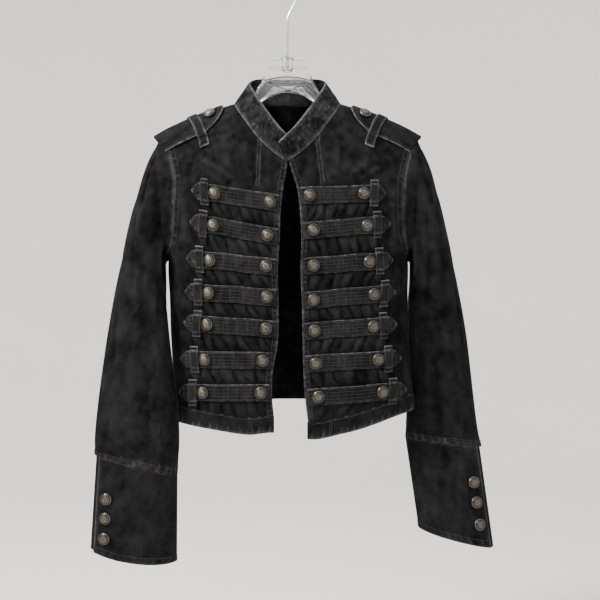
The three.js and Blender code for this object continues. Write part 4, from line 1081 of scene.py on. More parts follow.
band_rows = np.array([0, 0.03, 0.08, 0.14, 0.24, 0.36, 0.5, 0.64, 0.76, 0.86, 0.92, 0.97, 1])
back_x = foot_x[1:-1]
right_x, left_x = outer_columns("right"), outer_columns("left")
places = [("front", right_x), ("back", back_x), ("front", left_x[::-1])]
face_x = np.concatenate([x for _, x in places])
is_back = np.concatenate([np.full(len(x), face == "back") for face, x in places])
run = np.concatenate([[0], np.cumsum(np.abs(np.diff(face_x)))])
points, normals = [], []
for t in band_rows:
    z = np.where(is_back, hem["back"](face_x), hem["front"](face_x)) + mix(HEM_BAND - SEAM, 0, t)
    roping = 0.45 * ripple(run + 5 * t, 9, 0.7) * smooth((t - 0.55) / 0.25)
    roping = roping + 0.2 * ripple(run - 6 * t, 12, 2.0)
    channel = 0.35 * np.sin(np.pi * np.clip((t - 0.1) / 0.75, 0, 1))
    out = 0.3 + channel + roping * 0.6
    deep = np.where(is_back, torso("back", face_x, z), torso("front", face_x, z)) + SEAM
    normal = np.where(is_back[:, None], torso_normal("back", face_x, z), torso_normal("front", face_x, z))
    flat = np.stack([face_x, np.where(is_back, deep, -deep), z], 1)
    points.append(flat + normal * out[:, None])
    normals.append(normal)
band_points, band_normals = np.array(points), np.array(normals)
t = band_rows[:, None]
roped = np.clip(ripple(run + 5 * t, 9, 0.7), 0, 1)
band_wear = 0.8 * bell(1 - t, 0.05) * (0.4 + roped) + 0.35 * roped * smooth((t - 0.6) / 0.2)
band_wear = band_wear + 0.5 * bell(t, 0.05) * np.clip(ripple(run, 14, 1.1), 0, 1)
band = cloth("hem_band_cloth", band_points, band_normals, DOUBLE, 0.05 * roped, band_wear)
finish_cloth(band, trim_denim, "denim_trim", "hem_band")
columns = np.linspace(0.6, band_points.shape[1] - 1.6, band_points.shape[1])
sewing = [sew_row(band_points, band_normals, row, columns) for row in HEM_STITCH_ROWS]
for seam_x in BAND_SEAMS:
    column = np.argmin(np.abs(face_x - seam_x) + 1e3 * is_back)
    for step in (-1, 1):
        rows = np.linspace(0.5, 11.5, 20)
        beside_seam = on_grid(band_points, rows, column + step)
        sewing.append(stitches(beside_seam, on_grid(band_normals, rows, column)))
sewn("hem_band_stitches", sewing)

# Collar
# A stand collar of two layers with a stiffener between them, rubbed pale in the wash. Its two ends lap
# at the front, the wearer's left over the right, and both long edges are topstitched.
COLLAR_LAP = {"past": -9, "fall": -8.5, "under": 7, "climb": 0.6}
COLLAR_LAP_ROWS = 3
COLLAR_STEPS = 96
COLLAR_STITCH_ROWS = (2.2, 12.6)  # rows of stitching, counted in rows of the collar's grid


def sections(columns, t):
    """Every column of a table at a place counted in rows."""
    count = len(next(iter(columns.values())))
    counted = {"row": np.arange(float(count)), **columns}
    return {key: curve(counted, "row", key)(t) for key in columns}


def collar_line(t, sign):
    """Foot and top of the collar at a place counted in rows of its table, on one side. Over the last
    rows the ends part, each by half the lap's depth."""
    last = len(COLLAR["foot_x"]) - 1
    row = sections(COLLAR, t)
    lap = sign * (STAND + 2 * LIFT) / 2 * smooth((t - last + COLLAR_LAP_ROWS) / COLLAR_LAP_ROWS)
    x, z = sign * row["foot_x"], row["foot_z"]
    at_back = t < COLLAR_BACK_ROWS - 0.5
    side = "left" if sign < 0 else "right"
    front, _ = front_skin(side, x, z)
    rear = torso("back", x, z) + SEAM + folds_at(FOLDS["back"], x, z)
    foot = np.stack([x, np.where(at_back, rear, front[:, 1]) - lap, z + 4 * SEAM], 1)
    return foot, np.stack([sign * row["top_x"], row["top_y"] - lap, row["top_z"]], 1)


last = len(COLLAR["foot_x"]) - 1
steps = np.linspace(0, last, COLLAR_STEPS)
right_foot, right_top = (line[::-1] for line in collar_line(steps, 1))
left_foot, left_top = collar_line(steps[1:], -1)
over_share = np.linspace(1, 0, 7)[:-1, None]
over_foot = over_share * (0, 0, 0)
over_top = over_share * (COLLAR_LAP["past"], 0, COLLAR_LAP["fall"])
under_share = np.linspace(0, 1, 7)[1:, None]
under = COLLAR_LAP["under"]
under_foot = under_share * (under, 0, under * COLLAR_LAP["climb"])
under_top = under_share * (under, 0, COLLAR_LAP["fall"])
feet = np.concatenate([right_foot[:1] + over_foot, right_foot, left_foot, left_foot[-1:] + under_foot])
tops = np.concatenate([right_top[:1] + over_top, right_top, left_top, left_top[-1:] + under_top])
down = np.array([0, 0.03, 0.07, 0.12, 0.18, 0.26, 0.35, 0.45, 0.55, 0.65, 0.74, 0.82, 0.88, 0.93, 0.97, 1])
collar_points = mix(tops[None], feet[None], down[:, None, None])
collar_normals = grid_normals(collar_points)
run = lengths(mix(tops, feet, 0.5))
t = down[:, None]
blotch = ripple(run + 30 * t, 19, 0.9) * ripple(run - 44 * t, 15, 2.4)
blotch = blotch + 0.6 * ripple(0.7 * run + 52 * t, 12, 0.2) * ripple(run - 15 * t, 10, 1.3)
quilted = (0.9 + 0.8 * blotch) * np.sin(np.pi * t)
roped = ripple(run + 8 * t, 8, 2.0)
near_edge = np.minimum(t, 1 - t)
relief = quilted + 0.22 * roped * smooth((0.2 - near_edge) / 0.1)
collar_points = collar_points + collar_normals * relief[..., None]
collar_wear = bell(near_edge, 0.035) * (0.75 + 0.25 * roped)
collar_wear = collar_wear + 0.3 * np.clip(roped, 0, 1) * bell(near_edge - 0.12, 0.05)
collar_fade = 0.34 * blotch
collar_wear = collar_wear + 0.35 * np.clip(blotch - 0.15, 0, 1)
collar = cloth("stand_collar", collar_points, collar_normals, STAND, collar_fade, collar_wear, inside=0.12)
finish_cloth(collar, collar_denim, "denim_trim", "collar")
columns = np.arange(1, collar_points.shape[1] - 1)
sewing = [sew_row(collar_points, collar_normals, row, columns) for row in COLLAR_STITCH_ROWS]
rows = np.linspace(1, len(down) - 2, 14)
sewing.append(sew_row(collar_points, collar_normals, rows, 1.6))
sewn("collar_stitches", sewing)

# Sleeves
# Each is a long, slightly bent tube set into the armhole. It hangs empty, so it falls into long soft
# folds, and at its foot the seam of the cuff is turned up and stitched twice.
SLEEVE_NAMES = "out_x out_z in_x in_z y deep"
SLEEVES = {
    "left": table(SLEEVE_NAMES, [
        (192, -243, 187, -437, 0, 30), (200, -258, 188, -441, -1, 32), (211, -278, 189, -445, -3, 35),
        (221, -305, 189, -451, -7, 37), (232, -345, 188, -459, -10, 36), (243, -390, 187, -468, -14, 33),
        (252, -435, 186, -480, -19, 31), (261, -482, 185, -498, -26, 29), (267, -522, 182, -528, -33, 27),
        (273, -565, 177, -568, -39, 25), (279, -612, 171, -612, -43, 23), (285, -660, 165, -660, -44, 22),
        (290, -703, 163, -712, -40, 21), (292, -735, 167, -766, -33, 20),
    ]),
    "right": table(SLEEVE_NAMES, [
        (196, -243, 189, -437, 0, 30), (202, -256, 190, -441, 1, 31), (213, -276, 191, -445, 2, 34),
        (224, -303, 191, -451, 3, 36), (235, -345, 191, -459, 5, 35), (246, -388, 191, -468, 8, 33),
        (257, -432, 191, -480, 12, 31), (267, -478, 190, -498, 17, 29), (276, -520, 190, -528, 22, 27),
        (284, -566, 190, -566, 26, 25), (290, -612, 190, -606, 29, 23), (295, -655, 189, -645, 30, 22),
        (300, -700, 188, -686, 26, 21), (305, -731, 186, -717, 19, 20),
    ]),
}
SLEEVE_POWER = 2.3
# Folds along a sleeve: share of its length and turn from the front in degrees where each starts and
# ends, its height, and its width in degrees.
SLEEVE_FOLDS = {
    "left": [
        (0.25, 0.62, -35, 5, 3, 16), (0.55, 1, 28, 20, 2.5, 13), (0.45, 0.98, -42, -30, 2.5, 12),
        (0.3, 0.95, 175, 190, 3, 18), (0.2, 0.6, 140, 165, 2.5, 14),
    ],
    "right": [
        (0.2, 0.6, 30, 0, 3, 16), (0.5, 0.98, -25, -18, 2.5, 13), (0.4, 1, 38, 30, 2.5, 12),
        (0.3, 0.95, 185, 172, 3, 18), (0.2, 0.6, 215, 196, 2.5, 14),
    ],
}
# Sharper creases, with the same columns.
SLEEVE_CREASES = {
    "left": [
        (0.03, 0.44, -36, -48, 4.2, 11), (0.02, 0.42, -58, -74, -6.5, 8), (0.06, 0.3, 52, 30, -2.2, 7),
        (0.1, 0.42, 10, 34, 1.8, 8), (0.12, 0.34, -30, -8, -1.8, 7),
        (0.3, 0.52, 44, 12, -1.6, 7), (0.4, 0.7, 2, -18, -2.0, 7), (0.52, 0.82, 46, 34, -1.6, 6),
        (0.66, 0.97, 8, 2, 1.6, 7), (0.72, 0.99, -18, -12, -1.6, 6), (0.5, 0.74, -62, -50, 1.4, 8),
        (0.1, 0.3, 160, 190, -1.8, 9), (0.34, 0.66, 210, 176, -1.8, 8), (0.6, 0.95, 150, 160, -1.6, 8),
        (0.4, 0.8, 232, 216, 1.5, 9), (0.3, 0.5, 70, 96, 1.2, 9), (0.44, 0.56, 74, 112, -1.4, 7),
        (0.47, 0.6, -40, -100, -1.5, 8), (0.41, 0.5, -30, -92, 1.2, 8),
    ],
    "right": [
        (0.03, 0.42, -38, -50, 4, 11), (0.02, 0.4, -60, -76, -6.5, 8), (0.05, 0.3, 48, 26, -2.4, 7),
        (0.1, 0.4, 4, 30, 1.8, 8), (0.1, 0.32, -34, -10, -1.8, 7),
        (0.28, 0.55, 40, 14, -1.6, 7), (0.38, 0.66, -4, -22, -2.0, 7), (0.5, 0.84, 50, 40, -1.6, 6),
        (0.64, 0.96, 12, 6, 1.6, 7), (0.7, 0.99, -8, -4, -1.8, 6), (0.52, 0.78, -58, -46, 1.4, 8),
        (0.12, 0.32, 205, 178, -1.8, 9), (0.36, 0.68, 160, 190, -1.8, 8), (0.62, 0.96, 214, 200, -1.6, 8),
        (0.42, 0.8, 138, 150, 1.5, 9), (0.28, 0.48, 72, 98, 1.2, 9), (0.46, 0.58, 70, 110, -1.4, 7),
        (0.46, 0.6, -36, -96, -1.5, 8), (0.4, 0.48, -32, -88, 1.2, 8),
    ],
}
SLEEVE_AROUND = 108
CAP_ROWS = 9
SLEEVE_ROWS = 118
SEAM_BAND = 9  # height of the stitched band above the cuff
DEGREE_LONG = 1.1  # millimetres round a sleeve to one degree
SLEEVE_FOOT_ROWS = (1.8, 5.2, 8.0)  # rows of stitching, in millimetres up from the foot
SLEEVE_SEAM_ROWS = (0.0, 1.6)  # and along the seam, in columns


def signed_power(value, power):
    """A power of a value's size, with the value's own sign."""
    return np.sign(value) * np.abs(value) ** power


def tube_point(section, turn, out=0.0):
    """A point of a flattened tube by its turn in radians, 0 at the front: a superellipse between the
    section's outer and inner edge, and its depth."""
    power = 2 / SLEEVE_POWER
    across = signed_power(np.sin(turn), power)
    forward = signed_power(np.cos(turn), power)
    middle_x = (section["out_x"] + section["in_x"]) / 2
    middle_z = (section["out_z"] + section["in_z"]) / 2
    middle = np.stack([middle_x, section["y"], middle_z], -1)
    outer = np.stack([section["out_x"], section["y"], section["out_z"]], -1)
    half = outer - middle
    grown = 1 + out / np.linalg.norm(half, axis=-1)
    deeper = forward * (section["deep"] + out)
    return middle + half * (across * grown)[..., None] + np.stack([0 * deeper, -deeper, 0 * deeper], -1)


def run_folds(folds, share, turn):
    """Folds that run along a tube: a bell across each, in degrees round the tube."""
    high = np.zeros(np.broadcast(share, turn).shape)
    for begin, end, turn0, turn1, top, wide in folds:
        t = (share - begin) / (end - begin)
        off = (turn - mix(turn0, turn1, t) + 540) % 360 - 180
        ends = smooth(np.minimum(t, 1 - t) * 5) * (t > 0) * (t < 1)
        high = high + top * ends * bell(off, wide)
    return high


def armhole(side, turn):
    """The armhole's edge, a little outside the panels' edges."""
    up = (1 + signed_power(np.sin(turn), 0.8)) / 2
    z = mix(UNDERARM_Z, SHOULDER_TIP_Z, up)
    x = body[side + "_seam"](z)
    signed = SIGN[side] * x
    front, front_normal = front_skin(side, signed, z)
    rear = torso("back", signed, z) + SEAM + folds_at(FOLDS["back"], signed, z) * inside_sides(signed, z)
    facing = np.cos(turn) >= 0
    normal = np.where(facing[:, None], front_normal, torso_normal("back", signed, z))
    point = np.stack([x + ARMHOLE_GAP, np.where(facing, front[:, 1], rear), z], 1)
    return point, normal * (SIGN[side], 1, 1)


for side in ("left", "right"):
    turn = np.linspace(0, 2 * np.pi, SLEEVE_AROUND, endpoint=False)
    degrees = np.degrees(turn)
    last = len(SLEEVES[side]["y"]) - 1
    edge, edge_normal = armhole(side, turn)
    stops = np.linspace(1, last, SLEEVE_ROWS)
    first = tube_point(sections(SLEEVES[side], np.full_like(turn, 1.0)), turn)
    cap = [mix(edge, first, t) for t in np.linspace(0, 1, CAP_ROWS)[:-1]]
    grid_t, grid_turn = np.meshgrid(stops, turn, indexing="ij")
    share = grid_t / last
    broad = run_folds(SLEEVE_FOLDS[side], share, np.degrees(grid_turn))
    base = tube_point(sections(SLEEVES[side], grid_t), grid_turn, broad)
    points = np.concatenate([np.array(cap), base])
    normals = grid_normals(points, around=True)
    normals[0] = edge_normal
    share = np.concatenate([np.linspace(0, 1, CAP_ROWS)[:-1] / last, stops / last])[:, None]
    creases = run_folds(SLEEVE_CREASES[side], share, degrees[None])
    step = np.linalg.norm(np.diff(points, axis=0), axis=2).mean(1)
    length = np.concatenate([[0], np.cumsum(step)])[:, None]
    from_foot = length[-1] - length
    around_mm = degrees[None] * DEGREE_LONG
    gathered = 0.8 * ripple(around_mm, 26, 1.3) * bell(length - 16, 12) * smooth(length / 6)
    band_high = smooth((SEAM_BAND + 1 - from_foot) / 1.2)
    puckered = ripple(around_mm + 4 * from_foot / SEAM_BAND, 15, 0.5)
    pulled = 0.7 * ripple(around_mm, 21, 2.2) * bell((from_foot - SEAM_BAND).clip(0), 16) * (1 - band_high)
    limb = smooth(length / 8)
    relief = creases * limb + gathered + band_high * (0.6 + 0.35 * puckered) + pulled
    rounded = 1.4 * np.sin(np.pi * np.clip(length / 22, 0, 1)) * (length < 22)
    points = points + normals * (relief + rounded)[..., None]
    # Painted shade darkens the deep creases, most of all the trough beside the armhole, and painted highlight
    # lightens the crowns of the creases and folds.
    fade_and_shade = 0.11 * creases - 0.25 * smooth((-creases - 2.5) / 3)
    fade_and_shade = fade_and_shade + 0.04 * np.clip(run_folds(SLEEVE_FOLDS[side], share, degrees[None]), -2, 3)
    wear = 0.45 * bell(length, 1.6) + band_high * np.clip(puckered, 0, 1) * 0.5
    wear = wear + 0.35 * bell(from_foot, 1.3) * np.clip(ripple(around_mm, 18, 0.2), 0, 1)
    name = "sleeve_" + WEARER[side] + "_cloth"
    made = cloth(name, points, normals, CLOTH, fade_and_shade, wear, around=True, side=side)
    finish_cloth(made, panel_denim, "denim", "sleeve_" + WEARER[side])
    ring = np.arange(SLEEVE_AROUND)
    sewing = []
    for distance in SLEEVE_FOOT_ROWS:
        row = np.interp(length[-1, 0] - distance, length[:, 0], np.arange(len(length)))
        sewing.append(sew_row(points, normals, row, ring, side))
    rows = np.arange(2, len(points) - 6)
    column = SLEEVE_AROUND * 0.75 - 2.0
    for offset in SLEEVE_SEAM_ROWS:
        sewing.append(sew_row(points, normals, rows, column + offset, side))
    sewn("sleeve_stitches_" + WEARER[side], sewing)

# Cuffs
# Long doubled cuffs that wrap round with a lap on the outer side. The upper layer's edge and the lower
# edge are topstitched, and the wash has roped the lower edge.
CUFFS = {
    "left": {"lower": (303, -878, 169, -898, -24, 21), "dip": 9, "buttons": (0.4, 0.6, 0.81)},
    "right": {"lower": (324, -885, 205, -855, 6, 21), "dip": 3, "buttons": (0.36, 0.56, 0.78)},
}
CUFF_END = 56  # the turns in degrees of the upper layer's end, the buttons and the lower layer's end
CUFF_BUTTON = 34
CUFF_UNDER_END = 12
CUFF_AROUND = 132
CUFF_END_ROWS = (2.0, 6.0)  # rows of stitching, in millimetres from the end and from the foot
CUFF_FOOT_ROW = 9.5
CUFF_CREASES = {
    "left": [
        (0, 0.45, 2, 16, -1.0, 6), (0.1, 0.6, -30, -20, 0.9, 8), (0.3, 0.9, 12, 4, 0.8, 9),
        (0.2, 0.9, 180, 196, 0.9, 12),
    ],
    "right": [
        (0, 0.42, -4, 10, -1.5, 5), (0.1, 0.7, 20, 8, 0.9, 8), (0.3, 0.9, -30, -24, 0.8, 9),
        (0.2, 0.9, 190, 174, 0.9, 12),
    ],
}


def cuff_place(side, share, degrees, out=0.0):
    """A point of a cuff, between the sleeve's last section and the cuff's lower one."""
    upper = {key: value[-1] for key, value in SLEEVES[side].items()}
    lower = dict(zip(SLEEVE_NAMES.split(), CUFFS[side]["lower"]))
    section = {key: mix(upper[key], lower[key], share) for key in upper}
    section = dict(zip(section, np.broadcast_arrays(*section.values(), degrees)[:-1]))
    point = tube_point(section, np.radians(degrees), out)
    middle = 1 - np.sin(np.radians(degrees)) ** 2
    drop = 4 * SEAM + CUFFS[side]["dip"] * middle * share
    return point - np.stack([0 * drop, 0 * drop, drop], -1)


for side in ("left", "right"):
    down = np.concatenate([[0, 0.008, 0.02], np.linspace(0.04, 0.94, 34), [0.96, 0.976, 0.99, 1]])
    degrees = np.linspace(CUFF_UNDER_END, 360 + CUFF_END, CUFF_AROUND)
    degrees = np.concatenate([degrees[:-2], [360 + CUFF_END - 2.2, 360 + CUFF_END - 1.0, 360 + CUFF_END]])
    share, angle = np.meshgrid(down, degrees, indexing="ij")
    rise = smooth((angle - CUFF_END - 25) / 130)
    base = cuff_place(side, share, angle, 0.4 - (DOUBLE + LIFT) * (1 - rise))
    normals = grid_normals(base)
    tall = np.linalg.norm(base[-1] - base[0], axis=1).mean()
    from_foot = (1 - share) * tall
    run = lengths(base[20])[None] + 0 * share
    from_end = run[:, -1:] - run
    roping = ripple(run + 0.5 * from_foot, 11, 1.9)
    hemmed = smooth((11 - from_foot) / 1.5)
    on_top = smooth((angle - 120) / 40)
    creases = run_folds(CUFF_CREASES[side], share, angle % 360) * on_top
    relief = hemmed * (0.35 + 0.4 * roping) * (0.3 + 0.7 * on_top)
    relief = relief + creases + 0.35 * smooth((7 - from_end) / 1.5)
    sunk = 0.5 * (1 - on_top)
    points = base + normals * (relief - sunk * smooth(relief / 0.3))[..., None]
    wear = bell(from_foot, 1.4) * (0.35 + 0.5 * np.clip(roping, 0, 1))
    wear = wear + 0.4 * np.clip(roping, 0, 1) * bell(from_foot - 6, 3) * on_top
    wear = wear + 0.7 * bell(from_end, 1.3) + 0.25 * bell(share * tall, 1.5)
    name = "cuff_" + WEARER[side] + "_cloth"
    # The cuff's creases lighten and darken its colour a little: painted highlight on their ridges, painted
    # shade in their troughs.
    made = cloth(name, points, normals, DOUBLE, 0.03 + 0.06 * creases, wear, side=side)
    finish_cloth(made, panel_denim, "denim", "cuff_" + WEARER[side])
    columns = np.arange(6, len(degrees) - 2)
    rows = np.arange(1, len(down) - 1)
    foot_row = np.interp(-CUFF_FOOT_ROW, -from_foot[:, 0], np.arange(len(down)))
    sewing = [sew_row(points, normals, foot_row, columns, side)]
    for distance in CUFF_END_ROWS:
        column = np.interp(-distance, -from_end[20], np.arange(len(degrees)))
        sewing.append(sew_row(points, normals, rows, column, side))
    sewn("cuff_stitches_" + WEARER[side], sewing)

# Straps and their keepers
# Seven bands of folded denim across each front, stitched through in five rows and cut to a point. Each
# runs through an upright keeper, a narrow folded loop whose two ends are turned under and sewn down.
STRAP_POINT = 9
STRAP_EDGE_X = 3
KEEPER = {"wide": 11.5, "tall": 39, "reach": 15.4, "thick": 1.7}
STRAP_ROWS = (-9.6, -5.0, 0.0, 5.0, 9.6)
CHANNEL_WIDE = 4.8  # of the soft channels between a strap's rows of stitching
CHANNEL_HIGH = 0.32
KEEPER_ROWS = (-3.6, 0.0, 3.6)


def laid(side, row, x, up, out):
    """A point on a strap's line, up from its middle and out from the front."""
    z = strap_z(side, row, x) + up
    return front_skin(side, x, z, np.broadcast_to(out, np.shape(x)))


def sag_at(run, long, row):
    """How far a strap sags at a place along it: half a sine wave, made uneven."""
    return 0.8 * np.sin(np.pi * np.clip(run / long, 0, 1)) * ripple(run, 90, row + 0.5)


def keeper_high(up):
    """Height of a keeper over the front, up from its middle. It climbs over the strap, and its two
    ends are turned under."""
    over_strap = smooth((STRAP_WIDE / 2 + 3.2 - np.abs(up)) / 3)
    folded = smooth(np.abs(up) - KEEPER["tall"] / 2 + 4.5)
    return LIFT + KEEPER["thick"] + 0.4 + over_strap * (DOUBLE + 0.7) + folded * 0.7


for side in ("left", "right"):
    sign = SIGN[side]
    band_sewing, keeper_sewing = [], []
    for row in range(strap_count):
        strap = {key: value[row] for key, value in STRAPS[side].items()}
        start_x = float(front_edge[side](strap["in_z"])) + sign * STRAP_EDGE_X
        point_x = strap["tip_x"] - sign * STRAP_POINT
        along = np.concatenate([
            start_x + sign * np.array([0, 0.5, 1.4]),
            np.linspace(start_x + sign * 3, point_x, 56),
            np.linspace(point_x, strap["tip_x"], 9)[1:],
        ])
        taper = np.clip((along - point_x) / (strap["tip_x"] - point_x), 0, 1)
        half = mix(STRAP_WIDE / 2, 1.5, taper)
        upper = np.array([1, 0.96, 0.9, 0.8, 0.62, 0.42, 0.22])
        across = np.concatenate([upper, [0], -upper[::-1]])
        x, s = np.meshgrid(along, across, indexing="xy")
        up = s * half[None]
        run = np.abs(x - start_x)
        uneven = 0.5 * ripple(run, 60, 1.3 * row + sign) + 0.12 * ripple(run + 4 * up, 9, 0.8 * row)
        edge_row = 2 * CHANNEL_WIDE
        channels = CHANNEL_HIGH * np.abs(np.sin(np.pi * (up + edge_row) / CHANNEL_WIDE))
        channels = channels * (np.abs(up) < edge_row)
        long = np.abs(point_x - start_x)
        past = smooth((sign * (x - strap["out_x"]) - 18) / 4)
        crumple = ripple(x + 0.8 * up, 8, row + 0.3) * ripple(x - 1.4 * up, 10, 1.7 * row + sign)
        high = LIFT + DOUBLE - 0.15 + channels * (1 - past) + 0.25 * uneven + 1.1 * past * crumple
        points, normals = laid(side, row, x, up + sag_at(run, long, row), high)
        near_edge = half[None] * (1 - np.abs(s))
        dashes = np.clip(ripple(run, 3.4, 0.0) + 0.2, 0, 1)
        wear = 0.75 * bell(near_edge, 0.8) * (0.55 + 0.45 * ripple(run, 13, 1.1 * row + sign))
        wear = wear * np.where(s > 0, 1.0, 0.55) + 0.16 * channels / CHANNEL_HIGH * dashes
        wear = wear + 0.8 * bell(np.abs(x - strap["tip_x"]), 1.2)
        wear = wear + 0.6 * past * np.clip(crumple, 0, 1)
        inner_end = smooth((10 - run) / 2)
        wear = wear + 0.3 * inner_end * np.clip(np.sin(2 * np.pi * up / CHANNEL_WIDE), 0, 1)
        name = f"strap_band_{WEARER[side]}_{row + 1}"
        band = cloth(name, points, normals, DOUBLE - 0.3, 0.05 + 0.1 * channels, wear, turned=side == "left")
        node_name = f"strap_{WEARER[side]}_{row + 1}"
        finish_cloth(band, trim_denim, "denim_trim", node_name)
        line_x = np.linspace(start_x + sign, point_x + sign * 2, 60)
        line_sag = sag_at(np.abs(line_x - start_x), long, row)
        for up_at in STRAP_ROWS:
            band_sewing.append(stitches(*laid(side, row, line_x, up_at + line_sag, LIFT + DOUBLE)))
        keeper_x = strap["out_x"] + sign * KEEPER["reach"]
        lean = 0.07 * ripple(np.array(37.0 * row), 100, sign)
        down = np.concatenate([[-1, -0.975, -0.93], np.linspace(-0.86, 0.86, 27), [0.93, 0.975, 1]])[::-1]
        side_share = np.array([-1, -0.9, -0.72, -0.45, -0.15, 0.15, 0.45, 0.72, 0.9, 1])
        s, up_share = np.meshgrid(side_share, down, indexing="xy")
        up = up_share * KEEPER["tall"] / 2
        ribs = 0.3 * np.abs(np.sin(np.pi * (s * KEEPER["wide"] / 2 + 3.6) / 3.6))
        x = keeper_x + s * KEEPER["wide"] / 2 + lean * up
        buckled = 0.7 * ripple(up + 2 * s, 9, 1.9 * row + sign) * smooth((np.abs(up) - 10) / 3)
        points, normals = laid(side, row, x, up, keeper_high(up) + ribs + buckled)
        top_edge = bell(KEEPER["tall"] / 2 - up, 1.0)
        foot_edge = bell(KEEPER["tall"] / 2 + up, 1.0)
        wear = 0.9 * top_edge + 0.45 * foot_edge + 0.25 * bell(1 - np.abs(s), 0.12)
        wear = wear + 0.5 * bell(np.abs(up) - STRAP_WIDE / 2 - 1, 1.2) * (ribs > 0.15)
        keeper = cloth(f"keeper_{WEARER[side]}_{row + 1}", points, normals, KEEPER["thick"], 0.05, wear)
        finish_cloth(keeper, trim_denim, "denim_trim", node_name)
        up_at = np.linspace(KEEPER["tall"] / 2 - 1.5, 1.5 - KEEPER["tall"] / 2, 40)
        for across_mm in KEEPER_ROWS:
            line_x = keeper_x + across_mm + lean * up_at
            keeper_sewing.append(stitches(*laid(side, row, line_x, up_at, keeper_high(up_at) + 0.05)))
    sewn("strap_stitches_" + WEARER[side], band_sewing)
    sewn("keeper_stitches_" + WEARER[side], keeper_sewing)

# Epaulettes
# A pointed flap of doubled denim over each shoulder, topstitched twice round. Its wide end is sewn in at
# the armhole, and its point runs under a keeper and is held by a button.
EPAULETTE = table("roll inner_x outer_x", [
    (-6, 112, 207), (6, 101, 206), (17, 98, 203), (26, 101, 198), (34, 109, 192), (40.5, 124, 186),
])
EPAULETTE_KEEPER = table("roll x", [
    (-13, 150), (-8, 149), (6, 146), (17, 142), (29, 136), (42, 129), (44.5, 127), (52, 124),
])
EPAULETTE_KEEPER_WIDE = 13
EPAULETTE_LIFT = 1.6
FLAP_LAST = 5  # last row of the flap's table
FLAP_ROW = 18  # millimetres from one row to the next
FLAP_TOPSTITCH = (2.4, 6.4)
KEEPER_LAST = 7
EPAULETTE_BUTTON = {"x": 118, "roll": 20}
flap_top = EPAULETTE_LIFT + DOUBLE
for side in ("left", "right"):
    rows = np.concatenate([[0, 0.04, 0.12], np.linspace(0.25, 4.75, 44), [4.88, 4.96, 5]])
    section = sections(EPAULETTE, rows)
    across = np.concatenate([[0, 0.008, 0.02, 0.035], np.linspace(0.05, 0.97, 48), [0.985, 1]])
    x = mix(section["inner_x"][:, None], section["outer_x"][:, None], across)
    roll = section["roll"][:, None] + 0 * x
    calm = smooth(rows[:, None]) * smooth(FLAP_LAST - rows[:, None])
    wave = 0.5 * ripple(x + roll, 44, 0.6 + SIGN[side]) * calm
    settled = smooth((across - 0.72) / 0.28) * (1.8 + 1.3 * ripple(roll + 5 * across, 14, 0.7))
    points, normals = over_shoulder(x, roll, flap_top + 0.35 * wave - settled)
    width = (section["outer_x"] - section["inner_x"])[:, None]
    from_inner = across[None] * width
    from_fold = np.minimum(rows, FLAP_LAST - rows)[:, None] * FLAP_ROW + 0 * x
    near_edge = np.minimum(from_inner, from_fold)
    wear = bell(near_edge, 1.3) * (0.7 + 0.3 * ripple(x + 2 * roll, 12, 1.4))
    wear = wear + 0.3 * bell(near_edge - 6, 1.2) * np.clip(ripple(x + 3 * roll, 6, 0.4), 0, 1)
    name = "epaulette_" + WEARER[side] + "_cloth"
    flap = cloth(name, points, normals, DOUBLE, 0.06 + 0.03 * wave, wear, side=side)
    finish_cloth(flap, trim_denim, "denim_trim", "epaulette_" + WEARER[side])
    sewing = []
    along_fold = np.linspace(0.02, 0.96, 60) * (len(across) - 1)
    for inset in FLAP_TOPSTITCH:
        turned_in = inset / FLAP_ROW
        first, last = np.interp((turned_in, FLAP_LAST - turned_in), rows, np.arange(len(rows)))
        for row in (first, last):
            sewing.append(sew_row(points, normals, row, along_fold, side))
        line_rows = np.linspace(first, last, 60)
        line_columns = [np.interp(inset, from_inner[int(row)], np.arange(len(across))) for row in line_rows]
        sewing.append(sew_row(points, normals, line_rows, line_columns, side))
    rows = np.linspace(0, KEEPER_LAST, 64)
    strip_at = {key: np.interp(rows, np.arange(8.0), at) for key, at in EPAULETTE_KEEPER.items()}
    lifted = smooth((rows - 0.25) / 0.6) * smooth((6.25 - rows) / 0.6)
    s = np.array([-1, -0.9, -0.7, -0.4, -0.13, 0.13, 0.4, 0.7, 0.9, 1])
    x = strip_at["x"][:, None] + s * EPAULETTE_KEEPER_WIDE / 2
    ribs = 0.25 * np.abs(np.sin(np.pi * (s * 6.5 + 4.2) / 4.2))
    high = flap_top - 0.6 + lifted[:, None] * (KEEPER["thick"] + 1.0) + ribs
    points, normals = over_shoulder(x, strip_at["roll"][:, None] + 0 * x, high)
    wear = 0.7 * bell(1 - np.abs(s), 0.12) + bell(KEEPER_LAST - rows[:, None], 0.1) + 0 * x
    name = "epaulette_keeper_" + WEARER[side]
    keeper = cloth(name, points, normals, KEEPER["thick"], 0.06, wear, side=side)
    finish_cloth(keeper, trim_denim, "denim_trim", "epaulette_" + WEARER[side])
    for column in (2.2, 6.8):
        span = np.arange(1, 62)
        sewing.append(sew_row(points, normals, span, column, side))
    sewn("epaulette_stitches_" + WEARER[side], sewing)

# Buttons
# Stamped metal domes in antique silver. Their relief is a plain one: a cord round the rim, a ring of
# beads, and a small rosette. Dark patina lies in the hollows, and the high places are rubbed bright.
BUTTON_HIGH = 5.2
BUTTON_SKIRT = [7.2, 7.5, 7.9, 8.3, 8.7, 8.95, 9.0, 8.9, 8.2]  # radius from the groove out to the foot
ANTIQUE = (0.01, 0.009, 0.007, 1), (0.19, 0.176, 0.148, 1)  # the patina, and the rubbed metal
BEADS = 20
PETALS = 8


